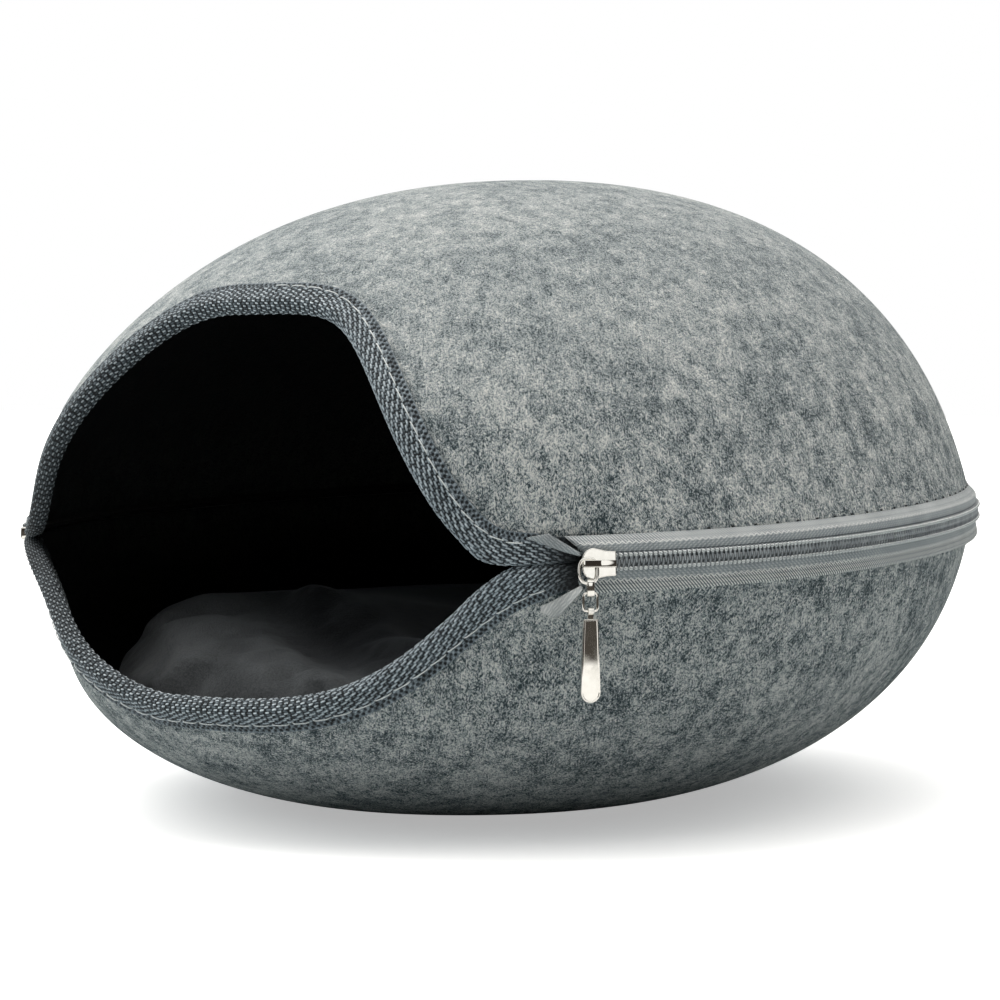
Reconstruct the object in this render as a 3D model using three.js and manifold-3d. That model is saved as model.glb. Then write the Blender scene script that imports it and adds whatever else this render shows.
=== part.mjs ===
// Pet cave bed: a moulded felt dome zipped to a moulded felt bowl, with a bound mouth and a loose cushion.
// Millimetres, +Z up, the mouth looks towards -Y, and the origin is the middle of the flat base.
// Angles round the bed are in degrees from the front (-Y) towards +X. On each shell u runs from 0 at the
// zip plane to 1 at the top of the dome or at the flat base.

import * as THREE from 'three';
import { mergeVertices } from 'three/addons/utils/BufferGeometryUtils.js';
import Module from 'manifold-3d';

// Felt shells
const HALF_WIDTH = 200;
const FRONT_DEPTH = 222;
const BACK_DEPTH = 238;
const ZIP_HEIGHT = 117;
const DOME_RISE = 148;
const ZIP_SLOPE = 0.038; // the zip plane climbs towards the back
const APEX_SHIFT = 20; // the top of the dome lies behind the middle
const BASE_RATIO = 0.34; // flat base against the widest plan
const FELT = 4;
const FELT_EDGE = 2.4; // from the zip plane to the felt's cut edge
const DOME_CAP = { power: 3, root: 2.2, below: 140 };
const BOWL_CAP = { power: 3, root: 1.65, below: 51 };
// The corners of the mouth are drawn in: by `zip` at the zip plane, and by `lip` more on the bowl's lip.
const PINCH = { angle: 36, spread: 21.5, zip: 14, lip: 13, lipStart: 0.2, domeFade: 0.25, bowlFade: 0.54 };
// Offsets from the felt turn level over this share of a shell, so that the two shells meet squarely.
const LEVEL_SHARE = 0.15;

// Mouth: its corners, and how far up the dome and down the bowl it is cut, uneven left and right
const CORNER = { left: 47.5, right: 49 };
const TOP_MOUTH = { reach: 0.65, left: { power: 3.8, root: 5.5 }, right: { power: 4.2, root: 7.1 } };
const BOTTOM_MOUTH = { reach: 0.485, left: { power: 1.7, root: 2.5 }, right: { power: 4.1, root: 3.2 } };

// Binding round the mouth
const GAP = 0.3; // between pieces that touch
const BINDING = 1.6;
const BINDING_LEG = 9.6;
const OUTER_GAP = 0.6;
const INNER_GAP = 1.4; // the braid stands off the hollow face of the felt

// Zip
const TAPE_INNER = 3.3;
const TAPE_OUTER = 10.8;
const TAPE = 1.7;
const TAPE_SWELL = 0.6; // the tape is thicker beside the coils
const TAPE_EDGE = { bulge: 0.3, slant: 0.5 }; // its far edge is softly rounded
const CHAIN = { half: 2.7, back: 0.3, side: 1.7, front: 2.6, crown: 1.5 };
const CHAIN_START = 50.5;
const CHAIN_END = 310.5; // at the metal stop on the left
const TAPE_END = 311.6;
const STOP_ANGLE = 311.2;
const STOP = { length: 4, height: 5.4, back: -0.4, front: 3.2 };

// The tape's right ends turn out over the binding as small leaves: a row for each step along a leaf.
const TOP_LEAF = [
  { angle: 43.4, inner: 13.6, outer: 15.2, lift: 2.2 },
  { angle: 44.2, inner: 12.2, outer: 15.9, lift: 2.2 },
  { angle: 46.0, inner: 9.4, outer: 14.6, lift: 2.2 },
  { angle: 48.0, inner: 6.6, outer: 11.6, lift: 2.2 },
  { angle: 49.0, inner: 5.4, outer: 10.6, lift: 2.2 },
  { angle: 51.5, inner: 3.6, outer: 10.8, lift: 0.4 },
];
const BOTTOM_LEAF = [
  { angle: 45.0, inner: 16.9, outer: 18.3, lift: 2.2 },
  { angle: 45.8, inner: 14.4, outer: 19.6, lift: 2.2 },
  { angle: 47.0, inner: 11.2, outer: 17.4, lift: 2.2 },
  { angle: 48.3, inner: 8.0, outer: 12.8, lift: 2.2 },
  { angle: 49.2, inner: 6.2, outer: 11.0, lift: 2.2 },
  { angle: 51.5, inner: 3.6, outer: 10.8, lift: 0.4 },
];

// Slider and pull, in the slider's own axes: x along the zip away from the mouth, y up, z outwards
const SLIDER_ANGLE = 50.6;
const PLATE = { half: 6.4, nose: 2.2, shoulder: 5.9, tail: 4.5, back: 3.0, front: 4.6 };
// The plate's upper side from its nose, at the mouth, to its tail: shares of its half length and shoulder
const PLATE_SIDE = [
  { along: -0.85, up: 0.72 },
  { along: -0.4, up: 1 },
  { along: 0.1, up: 0.86 },
];
const STRAP = { half: 6.2, leg: 1.2, width: 2.8, foot: 4.4, under: 6.2, top: 7.6, chamfer: 1.0 };
const RING = {
  x: -4.3,
  y: -2.4,
  z: 5.4,
  halfWidth: 3.7,
  halfHeight: 4.9,
  roundness: 2.6,
  lean: 0.12, // outwards for each millimetre down, clear of the plate
  wire: 0.5,
};
const PULL_X = -3.6;
const PULL_Z = 6.25;
const LINK = { top: -5.95, bottom: -11.3, depth: 0.8, band: 0.6, width: 2.4 };
const LOOP = { top: -10.5, bottom: -17, halfWidth: 2.6, corner: 1.2, wire: 0.5 };
const TAB = { top: -19.3, bottom: -48.2, topWidth: 5.6, bottomWidth: 7.1, thick: 1.8 };
const NECK = { width: 2.2, hole: 0.8, wall: 0.6 };

// Cushion: heights and widths up its side, and a trough across its crown
const CUSHION_PLAN = { halfWidth: 142, front: 160, back: 165, roundness: 2.3, y: 2 };
const CUSHION_WAIST = 49; // height of its widest ring
const CUSHION_SIDE = [
  { reach: 0.38, z: 4.4 },
  { reach: 0.58, z: 9 },
  { reach: 0.76, z: 19 },
  { reach: 0.92, z: 33 },
  { reach: 1.0, z: CUSHION_WAIST },
  { reach: 0.97, z: 61 },
  { reach: 0.84, z: 73 },
  { reach: 0.62, z: 81 },
  { reach: 0.34, z: 84 },
];
const CUSHION_CROWN = 84;
const CUSHION_HUMP = { x: -58, y: -84, spread: 82, rise: 11 };
const CUSHION_TROUGH = { x: 12, y: -62, turn: 35, width: 22, length: 95, depth: 15 };

// Steps of the faceted solids
const MOUTH_STEPS = 36;
const BACK_STEPS = 28;
// Rows up a shell, from its cut edge to its last ring
const ROW_SHARES = [0, 0.05, 0.1, 0.17, 0.27, 0.4, 0.55, 0.7, 0.83, 0.93, 0.985];
const WIRE_SIDES = 6;
const RING_STEPS = 20;
const LOOP_STEPS = 24;
const BEND_STEPS = 5;
const TAB_STEPS = 6;
const MERGE_REACH = 1e-4;
// Small steps for the slopes of a shell
const SMALL_TURN = 0.05;
const SMALL_RISE = 0.0005;
const CUSHION_STEPS = 28;

const wasm = await Module();
wasm.setup();

const radians = THREE.MathUtils.degToRad;
const vec = (x, y, z) => new THREE.Vector3(x, y, z);

function wrap(angle) {
  return THREE.MathUtils.euclideanModulo(angle + 180, 360) - 180;
}

// Shape of the shells

function planRadius(angle) {
  const a = radians(angle);
  const depth = Math.cos(a) > 0 ? FRONT_DEPTH : BACK_DEPTH;
  return 1 / Math.hypot(Math.sin(a) / HALF_WIDTH, Math.cos(a) / depth);
}

function pinch(angle) {
  return Math.exp(-(((Math.abs(wrap(angle)) - PINCH.angle) / PINCH.spread) ** 2));
}

function fade(u, length) {
  return Math.exp(-((u / length) ** 2));
}

// A cap of a superellipsoid whose own middle lies beyond the zip plane, which leaves a crease at the zip
function cap(u, rise, { power, root, below }) {
  const t = (u * rise + below) / (rise + below);
  const t0 = below / (rise + below);
  return Math.max(0, (1 - t ** power) / (1 - t0 ** power)) ** (1 / root);
}

function dome(angle, u) {
  const drawn = PINCH.zip * fade(u, PINCH.domeFade) * pinch(angle);
  const r = planRadius(angle) * cap(u, DOME_RISE, DOME_CAP) - drawn;
  const y = -r * Math.cos(radians(angle)) + APEX_SHIFT * u;
  return vec(r * Math.sin(radians(angle)), y, ZIP_HEIGHT + DOME_RISE * u + ZIP_SLOPE * y);
}

function bowl(angle, u) {
  const lip = PINCH.lip * (1 - fade(u, PINCH.lipStart));
  const drawn = (PINCH.zip + lip) * fade(u, PINCH.bowlFade) * pinch(angle);
  const reach = BASE_RATIO + (1 - BASE_RATIO) * cap(u, ZIP_HEIGHT, BOWL_CAP);
  const r = planRadius(angle) * reach - drawn;
  const y = -r * Math.cos(radians(angle));
  return vec(r * Math.sin(radians(angle)), y, (ZIP_HEIGHT + ZIP_SLOPE * y) * (1 - u));
}

const DOME = { point: dome, rise: DOME_RISE, mouth: TOP_MOUTH, side: 1 };
const BOWL = { point: bowl, rise: ZIP_HEIGHT, mouth: BOTTOM_MOUTH, side: -1 };

// How far along the shell the mouth is cut at an angle
function mouthReach(shell, angle) {
  const side = angle < 0 ? 'left' : 'right';
  const t = Math.abs(angle) / CORNER[side];
  const { power, root } = shell.mouth[side];
  return t < 1 ? shell.mouth.reach * (1 - t ** power) ** root : 0;
}

function feltEdge(shell, angle) {
  return FELT_EDGE / shell.rise + mouthReach(shell, wrap(angle));
}

// Directions on a shell: round it for each degree, along it for each unit of u, and out of its face
function directions(shell, angle, u) {
  const da = SMALL_TURN;
  const du = SMALL_RISE;
  const round = shell.point(angle + da, u).sub(shell.point(angle - da, u)).divideScalar(2 * da);
  const along = shell.point(angle, u + du).sub(shell.point(angle, u - du)).divideScalar(2 * du);
  const out = round.clone().cross(along).multiplyScalar(shell.side).normalize();
  return { round, along, out };
}

// A point `lift` outside the felt's outer face
function onShell(shell, angle, u, lift) {
  const { out } = directions(shell, angle, u);
  out.z *= THREE.MathUtils.smoothstep(u, 0, LEVEL_SHARE);
  return shell.point(angle, u).addScaledVector(out.normalize(), lift);
}

// Closed meshes

function geometryFrom(points, faces) {
  let volume = 0;
  for (const [a, b, c] of faces) {
    volume += points[a].dot(points[b].clone().cross(points[c]));
  }
  const index = volume > 0 ? faces.flat() : faces.map(([a, b, c]) => [a, c, b]).flat();
  const geometry = new THREE.BufferGeometry().setFromPoints(points);
  geometry.setIndex(index);
  geometry.computeVertexNormals();
  return geometry;
}

function quad(faces, a, b, c, d) {
  faces.push([a, b, c], [a, c, d]);
}

// Carries a section through stations of { outline, points }. A loop closes on itself, and an open run is
// closed by its first and last outlines.
function sweep(stations, loop) {
  const count = stations[0].points.length;
  const points = stations.flatMap((station) => station.points);
  const faces = [];
  const runs = loop ? stations.length : stations.length - 1;
  for (let s = 0; s < runs; s += 1) {
    const near = s * count;
    const far = ((s + 1) % stations.length) * count;
    for (let k = 0; k < count; k += 1) {
      const next = (k + 1) % count;
      quad(faces, near + k, near + next, far + next, far + k);
    }
  }
  if (!loop) {
    closeEnd(faces, stations[0].outline, 0, false);
    closeEnd(faces, stations.at(-1).outline, (stations.length - 1) * count, true);
  }
  return geometryFrom(points, faces);
}

function closeEnd(faces, outline, first, last) {
  const turn = Math.sign(THREE.ShapeUtils.area(outline));
  for (const corners of THREE.ShapeUtils.triangulateShape(outline, [])) {
    const same = Math.sign(THREE.ShapeUtils.area(corners.map((i) => outline[i]))) === turn;
    const [a, b, c] = corners.map((i) => first + i);
    faces.push(same === last ? [a, b, c] : [a, c, b]);
  }
}

function outlineFrom(pairs) {
  return pairs.map(([x, y]) => new THREE.Vector2(x, y));
}

function solidFrom(geometry) {
  const bare = geometry.clone();
  bare.deleteAttribute('normal');
  bare.deleteAttribute('uv');
  const merged = mergeVertices(bare, MERGE_REACH);
  return new wasm.Manifold(
    new wasm.Mesh({
      numProp: 3,
      vertProperties: new Float32Array(merged.attributes.position.array),
      triVerts: new Uint32Array(merged.index.array),
    }),
  );
}

function joined(...geometries) {
  const mesh = geometries
    .map(solidFrom)
    .reduce((whole, piece) => whole.add(piece))
    .getMesh();
  const geometry = new THREE.BufferGeometry();
  geometry.setAttribute('position', new THREE.BufferAttribute(mesh.vertProperties, 3));
  geometry.setIndex(new THREE.BufferAttribute(mesh.triVerts, 1));
  geometry.computeVertexNormals();
  return geometry;
}

// Felt shells

function columnAngles() {
  const angles = [];
  const mouth = CORNER.left + CORNER.right;
  for (let i = 0; i < MOUTH_STEPS; i += 1) {
    angles.push(-CORNER.left + (mouth * i) / MOUTH_STEPS);
  }
  for (let i = 0; i < BACK_STEPS; i += 1) {
    angles.push(CORNER.right + ((360 - mouth) * i) / BACK_STEPS);
  }
  return angles;
}

// A ring of points at a depth under the outer face, a share of the way from the cut edge
function feltRing(shell, angles, share, depth) {
  return angles.map((angle) => {
    const edge = feltEdge(shell, angle);
    return onShell(shell, angle, edge + (1 - edge) * share, -depth);
  });
}

function baseRing(angles, depth) {
  return angles.map((angle) => bowl(angle, 1).add(vec(0, 0, depth)));
}

function feltShell(shell, pole, lastRing) {
  const angles = columnAngles();
  const count = angles.length;
  const skins = [0, FELT].map((depth) => {
    const rings = ROW_SHARES.map((share) => feltRing(shell, angles, share, depth));
    return lastRing ? [...rings, lastRing(angles, depth)] : rings;
  });
  const rows = skins[0].length;
  const points = skins.flat(2);
  const poles = pole.map((point) => points.push(point) - 1);
  const at = (skin, row, i) => (skin * rows + row) * count + (i % count);
  const faces = [];
  for (let i = 0; i < count; i += 1) {
    for (let row = 0; row + 1 < rows; row += 1) {
      quad(faces, at(0, row, i), at(0, row, i + 1), at(0, row + 1, i + 1), at(0, row + 1, i));
      quad(faces, at(1, row, i + 1), at(1, row, i), at(1, row + 1, i), at(1, row + 1, i + 1));
    }
    faces.push([at(0, rows - 1, i), at(0, rows - 1, i + 1), poles[0]]);
    faces.push([at(1, rows - 1, i + 1), at(1, rows - 1, i), poles[1]]);
    quad(faces, at(1, 0, i), at(1, 0, i + 1), at(0, 0, i + 1), at(0, 0, i));
  }
  return geometryFrom(points, faces);
}

function feltTop() {
  const apex = dome(0, 1);
  return feltShell(DOME, [apex, apex.clone().add(vec(0, 0, -FELT))]);
}

function feltBottom() {
  return feltShell(BOWL, [vec(0, 0, 0), vec(0, 0, FELT)], baseRing);
}

// Binding: a braid folded over the felt's cut edge. Its section is drawn from the edge into the felt (x)
// and out of the felt's outer face (y).

function bindingOutline() {
  const fold = GAP + BINDING;
  const bevel = BINDING * Math.SQRT1_2;
  const face = OUTER_GAP;
  const back = -FELT - INNER_GAP;
  return outlineFrom([
    [BINDING_LEG, face],
    [BINDING_LEG, face + BINDING],
    [0, face + BINDING],
    [-GAP - bevel, face + bevel],
    [-fold, face],
    [-fold, back],
    [-GAP - bevel, back - bevel],
    [0, back - BINDING],
    [BINDING_LEG, back - BINDING],
    [BINDING_LEG, back],
    [-GAP, back],
    [-GAP, face],
  ]);
}

// Steps round the shell and along it for each millimetre square to the cut edge
function stepsFromEdge(shell, angle) {
  const da = SMALL_TURN;
  const u = feltEdge(shell, angle);
  const { round, along, out } = directions(shell, angle, u);
  const slope = (feltEdge(shell, angle + da) - feltEdge(shell, angle - da)) / (2 * da);
  const edge = round.clone().addScaledVector(along, slope);
  const square = out.clone().cross(edge).normalize();
  square.multiplyScalar(Math.sign(square.dot(along)));
  const rr = round.dot(round);
  const ra = round.dot(along);
  const aa = along.dot(along);
  const det = rr * aa - ra * ra;
  const sr = square.dot(round);
  const sa = square.dot(along);
  return { u, turn: (sr * aa - sa * ra) / det, climb: (sa * rr - sr * ra) / det };
}

function bindingStrip(shell) {
  const outline = bindingOutline();
  const stations = columnAngles().slice(0, MOUTH_STEPS + 1).map((angle) => {
    const { u, turn, climb } = stepsFromEdge(shell, angle);
    const points = outline.map((p) => onShell(shell, angle + turn * p.x, u + climb * p.x, p.y));
    return { outline, points };
  });
  return sweep(stations, false);
}

// Zip

// The felt's own columns between two ends
function zipAngles(start, end) {
  return [start, ...columnAngles().filter((angle) => angle > start && angle < end), end];
}

function zipStep(shell, angle) {
  return 1 / directions(shell, angle, 0).along.length();
}

function tapeStation(shell, { angle, inner, outer, lift }) {
  const low = lift + GAP;
  const outline = outlineFrom([
    [inner, low],
    [outer, low],
    [outer + TAPE_EDGE.bulge, low + TAPE / 2],
    [outer - TAPE_EDGE.slant, low + TAPE],
    [(inner + outer) / 2, low + TAPE],
    [inner, low + TAPE + TAPE_SWELL],
  ]);
  const step = zipStep(shell, angle);
  return { outline, points: outline.map((p) => onShell(shell, angle, p.x * step, p.y)) };
}

function zipTape(shell, leaf) {
  const run = zipAngles(leaf.at(-1).angle, TAPE_END).slice(1);
  const rows = [...leaf, ...run.map((angle) => ({ angle, inner: TAPE_INNER, outer: TAPE_OUTER, lift: 0 }))];
  const stations = rows.map((row) => tapeStation(shell, row));
  return sweep(stations, false);
}

// A level frame on the zip line: along the zip, up, and straight out
function zipFrame(angle) {
  const { round, out } = directions(DOME, angle, 0);
  const outwards = out.setZ(0).normalize();
  const up = vec(0, 0, 1);
  return { origin: dome(angle, 0), tangent: round.setZ(0).normalize(), up, outwards };
}

function zipChain() {
  const { half, back, side, front, crown } = CHAIN;
  const outline = outlineFrom([
    [-half, back],
    [half, back],
    [half, side],
    [crown, front],
    [-crown, front],
    [-half, side],
  ]);
  const stations = zipAngles(CHAIN_START, CHAIN_END).map((angle) => {
    const { origin, up, outwards } = zipFrame(angle);
    const place = (p) => origin.clone().addScaledVector(up, p.x).addScaledVector(outwards, p.y);
    return { outline, points: outline.map(place) };
  });
  return sweep(stations, false);
}

function zipStop() {
  const { length, height, back, front } = STOP;
  return new THREE.BoxGeometry(length, height, front - back).translate(0, 0, (front + back) / 2);
}

// Slider and pull

function plateOutline() {
  const { half, nose, shoulder, tail } = PLATE;
  const upper = [
    [-half, nose],
    ...PLATE_SIDE.map(({ along, up }) => [half * along, shoulder * up]),
    [half, tail],
  ];
  const lower = upper.map(([x, y]) => [x, -y]).reverse();
  return new THREE.Shape(outlineFrom([...upper, ...lower]));
}

function strapOutline() {
  const { half, leg, foot, under, top, chamfer } = STRAP;
  return new THREE.Shape(
    outlineFrom([
      [-half, foot],
      [-half, top - chamfer],
      [-half + chamfer, top],
      [half - chamfer, top],
      [half, top - chamfer],
      [half, foot],
      [half - leg, foot],
      [half - leg, under],
      [-half + leg, under],
      [-half + leg, foot],
    ]),
  );
}

function flatPlate(shape, depth) {
  return new THREE.ExtrudeGeometry(shape, { depth, bevelEnabled: false, curveSegments: TAB_STEPS });
}

function slider() {
  const plate = flatPlate(plateOutline(), PLATE.front - PLATE.back).translate(0, 0, PLATE.back);
  const strap = flatPlate(strapOutline(), STRAP.width)
    .rotateX(Math.PI / 2)
    .translate(0, STRAP.width / 2, 0);
  return joined(plate, strap);
}

// A round wire along a closed path, which is given by a function of a turn from 0 to 1
function wireLoop(path, steps, wire) {
  const stations = Array.from({ length: steps }, (_, i) => {
    const centre = path(i / steps);
    const ahead = path((i + 0.01) / steps)
      .sub(path((i - 0.01) / steps))
      .normalize();
    const across = vec(0, 0, 1).cross(ahead).normalize();
    const out = ahead.clone().cross(across);
    const points = Array.from({ length: WIRE_SIDES }, (_side, k) => {
      const a = (2 * Math.PI * k) / WIRE_SIDES;
      return centre
        .clone()
        .addScaledVector(across, wire * Math.cos(a))
        .addScaledVector(out, wire * Math.sin(a));
    });
    return { points };
  });
  return sweep(stations, true);
}

function signedPower(value, power) {
  return Math.sign(value) * Math.abs(value) ** power;
}

function pullRing() {
  const { x, y, halfWidth, halfHeight, roundness, z, lean, wire } = RING;
  const path = (turn) => {
    const a = 2 * Math.PI * turn;
    const py = y + halfHeight * signedPower(Math.sin(a), 2 / roundness);
    return vec(x + halfWidth * signedPower(Math.cos(a), 2 / roundness), py, z + lean * Math.max(0, -py));
  };
  return wireLoop(path, RING_STEPS, wire);
}

// A band bent round two wires: a long hole in a long plate with round ends, standing across the wires
function bandOutline(top, bottom, depth, band) {
  const stadium = (radius) => {
    const shape = new THREE.Path();
    shape.absarc(0, top - depth, radius, 0, Math.PI);
    shape.absarc(0, bottom + depth, radius, Math.PI, 2 * Math.PI);
    return shape;
  };
  const shape = new THREE.Shape(stadium(depth + band).getPoints(BEND_STEPS));
  shape.holes.push(new THREE.Path(stadium(depth).getPoints(BEND_STEPS)));
  return shape;
}

function standingBand(top, bottom, depth, band, width) {
  return flatPlate(bandOutline(top, bottom, depth, band), width)
    .rotateY(Math.PI / 2)
    .translate(PULL_X - width / 2, 0, PULL_Z);
}

function pullLink() {
  return standingBand(LINK.top, LINK.bottom, LINK.depth, LINK.band, LINK.width);
}

function pullLoop() {
  const { top, bottom, halfWidth, corner, wire } = LOOP;
  const shape = new THREE.Shape();
  shape.absarc(halfWidth - corner, top - corner, corner, 0, Math.PI / 2);
  shape.absarc(-halfWidth + corner, top - corner, corner, Math.PI / 2, Math.PI);
  shape.absarc(-halfWidth + corner, bottom + corner, corner, Math.PI, 1.5 * Math.PI);
  shape.absarc(halfWidth - corner, bottom + corner, corner, 1.5 * Math.PI, 2 * Math.PI);
  shape.closePath();
  const path = (turn) => {
    const p = shape.getPointAt(THREE.MathUtils.euclideanModulo(turn, 1));
    return vec(PULL_X + p.x, p.y, PULL_Z);
  };
  return wireLoop(path, LOOP_STEPS, wire);
}

function tabOutline() {
  const { top, bottom, topWidth, bottomWidth } = TAB;
  const radius = bottomWidth / 2;
  const shape = new THREE.Shape();
  shape.moveTo(topWidth / 2, top);
  shape.lineTo(-topWidth / 2, top);
  shape.lineTo(-radius, bottom + radius);
  shape.absarc(0, bottom + radius, radius, Math.PI, 2 * Math.PI);
  shape.closePath();
  return shape;
}

function pullTab() {
  const { hole, wall, width } = NECK;
  const plate = flatPlate(tabOutline(), TAB.thick).translate(PULL_X, 0, PULL_Z - TAB.thick / 2);
  const eye = standingBand(LOOP.bottom + hole, LOOP.bottom - hole, hole, wall, width);
  const neckTop = LOOP.bottom - hole - wall / 2;
  const neckBottom = TAB.top - wall;
  const neck = new THREE.BoxGeometry(width, neckTop - neckBottom, TAB.thick / 2);
  neck.translate(PULL_X, (neckTop + neckBottom) / 2, PULL_Z);
  return joined(plate, eye, neck);
}

// Cushion

function cushionReach(angle) {
  const { halfWidth, front, back, roundness } = CUSHION_PLAN;
  const s = Math.abs(Math.sin(radians(angle))) / halfWidth;
  const c = Math.abs(Math.cos(radians(angle))) / (Math.cos(radians(angle)) > 0 ? front : back);
  return (s ** roundness + c ** roundness) ** (-1 / roundness);
}

// The crown swells towards the left front, and a soft trough runs across it
function cushionForm(x, y) {
  const hump = CUSHION_HUMP;
  const swell = hump.rise * Math.exp(-(((x - hump.x) ** 2 + (y - hump.y) ** 2) / hump.spread ** 2));
  const trough = CUSHION_TROUGH;
  const turn = radians(trough.turn);
  const along = (x - trough.x) * Math.cos(turn) + (y - trough.y) * Math.sin(turn);
  const across = -(x - trough.x) * Math.sin(turn) + (y - trough.y) * Math.cos(turn);
  return swell - trough.depth * Math.exp(-((along / trough.length) ** 2) - (across / trough.width) ** 2);
}

function cushionPoint(angle, { reach, z }) {
  const r = cushionReach(angle) * reach;
  const x = r * Math.sin(radians(angle));
  const y = CUSHION_PLAN.y - r * Math.cos(radians(angle));
  const share = THREE.MathUtils.smoothstep(z, CUSHION_WAIST, CUSHION_CROWN);
  return vec(x, y, z + share * cushionForm(x, y));
}

function cushion() {
  const angles = Array.from({ length: CUSHION_STEPS }, (_, i) => (360 * i) / CUSHION_STEPS);
  const points = CUSHION_SIDE.flatMap((row) => angles.map((angle) => cushionPoint(angle, row)));
  const under = points.push(vec(0, CUSHION_PLAN.y, CUSHION_SIDE[0].z)) - 1;
  const over = points.push(cushionPoint(0, { reach: 0, z: CUSHION_CROWN })) - 1;
  const at = (row, i) => row * CUSHION_STEPS + (i % CUSHION_STEPS);
  const last = CUSHION_SIDE.length - 1;
  const faces = [];
  for (let i = 0; i < CUSHION_STEPS; i += 1) {
    for (let row = 0; row < last; row += 1) {
      quad(faces, at(row, i), at(row, i + 1), at(row + 1, i + 1), at(row + 1, i));
    }
    faces.push([at(0, i + 1), at(0, i), under], [at(last, i), at(last, i + 1), over]);
  }
  return geometryFrom(points, faces);
}

// Scene graph

const FINISH = {
  felt: new THREE.MeshStandardMaterial({ color: 0x8c9394, roughness: 0.95, metalness: 0 }),
  braid: new THREE.MeshStandardMaterial({ color: 0x4a5258, roughness: 0.85, metalness: 0 }),
  tape: new THREE.MeshStandardMaterial({ color: 0x868d8f, roughness: 0.8, metalness: 0 }),
  coil: new THREE.MeshStandardMaterial({ color: 0x4d555a, roughness: 0.55, metalness: 0 }),
  metal: new THREE.MeshStandardMaterial({ color: 0xd9d6cf, roughness: 0.15, metalness: 1 }),
  plush: new THREE.MeshStandardMaterial({ color: 0x3a3c3e, roughness: 1, metalness: 0 }),
};

function named(name, geometry, material) {
  const mesh = new THREE.Mesh(geometry, material);
  mesh.name = name;
  return mesh;
}

function zipGroup(angle, ...meshes) {
  const { origin, tangent, up, outwards } = zipFrame(angle);
  const group = new THREE.Group();
  group.applyMatrix4(new THREE.Matrix4().makeBasis(tangent, up, outwards).setPosition(origin));
  group.add(...meshes);
  return group;
}

const bed = new THREE.Group();
bed.add(
  named('felt_top', feltTop(), FINISH.felt),
  named('felt_bottom', feltBottom(), FINISH.felt),
  named('binding_top', bindingStrip(DOME), FINISH.braid),
  named('binding_bottom', bindingStrip(BOWL), FINISH.braid),
  named('zip_tape_top', zipTape(DOME, TOP_LEAF), FINISH.tape),
  named('zip_tape_bottom', zipTape(BOWL, BOTTOM_LEAF), FINISH.tape),
  named('zip_chain', zipChain(), FINISH.coil),
  zipGroup(STOP_ANGLE, named('zip_stop', zipStop(), FINISH.metal)),
  zipGroup(
    SLIDER_ANGLE,
    named('slider', slider(), FINISH.metal),
    named('pull_ring', pullRing(), FINISH.metal),
    named('pull_link', pullLink(), FINISH.metal),
    named('pull_loop', pullLoop(), FINISH.metal),
    named('pull_tab', pullTab(), FINISH.metal),
  ),
  named('cushion', cushion(), FINISH.plush),
);

export default bed;
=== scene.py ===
# %% [markdown]
# # Pet cave bed
# A moulded felt dome is zipped to a moulded felt bowl. A woven braid binds the mouth, and a loose plush
# cushion lies inside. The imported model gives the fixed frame: where every piece sits and how big it is.
# This lesson makes a fine mesh and a finish for each of those pieces, in metres, in that same frame.

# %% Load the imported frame
import math
from types import SimpleNamespace

import bmesh
import bpy
import numpy as np
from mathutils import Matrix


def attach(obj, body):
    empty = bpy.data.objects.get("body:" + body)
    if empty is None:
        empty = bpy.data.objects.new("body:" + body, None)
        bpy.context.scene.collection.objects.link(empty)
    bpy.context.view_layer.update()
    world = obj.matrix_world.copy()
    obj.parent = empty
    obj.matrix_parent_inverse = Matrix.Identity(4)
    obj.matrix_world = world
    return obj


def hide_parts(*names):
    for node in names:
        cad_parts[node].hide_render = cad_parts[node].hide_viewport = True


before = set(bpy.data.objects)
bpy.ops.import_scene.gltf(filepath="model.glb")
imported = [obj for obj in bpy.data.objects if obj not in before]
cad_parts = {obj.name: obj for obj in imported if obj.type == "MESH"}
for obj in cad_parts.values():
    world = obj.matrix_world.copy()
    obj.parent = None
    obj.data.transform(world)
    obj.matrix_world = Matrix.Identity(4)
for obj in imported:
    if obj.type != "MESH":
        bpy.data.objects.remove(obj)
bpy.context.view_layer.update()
MM = 0.001
print("solids in the frame:", ", ".join(sorted(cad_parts)))

# %% [markdown]
# ## Meshes from arrays
# Thousands of stitches and weave crowns are far quicker to work out as arrays of points than to place with
# operators. So a few helpers join rows of points with faces, join meshes to one, and turn points and faces
# into an object that rides on the bed's only body.

# %% Grids and strips


def grid_quads(rows, columns, closed=False, first=0):
    """Quads between rows of points. A closed grid joins its last column to its first."""
    row = np.arange(rows - 1)[:, None]
    column = np.arange(columns if closed else columns - 1)[None, :]
    here = first + row * columns + column
    beside = first + row * columns + (column + 1) % columns
    return np.stack([here, beside, beside + columns, here + columns], axis=-1).reshape(-1, 4)


def closed_strip(rows, columns):
    """Faces of a strip whose section is closed, with both of its ends closed as well."""
    faces = [list(quad) for quad in grid_quads(rows, columns, True)]
    return faces + [list(range(columns)), list(range((rows - 1) * columns, rows * columns))]


def join_meshes(*meshes):
    points, faces, first = [], [], 0
    for more_points, more_faces in meshes:
        points.append(more_points)
        faces += [[first + k for k in face] for face in more_faces]
        first += len(more_points)
    return np.concatenate(points), faces


print("a closed strip of 3 rows and 4 columns has", len(closed_strip(3, 4)), "faces")

# %% Pieces
scene = bpy.context.scene


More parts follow.
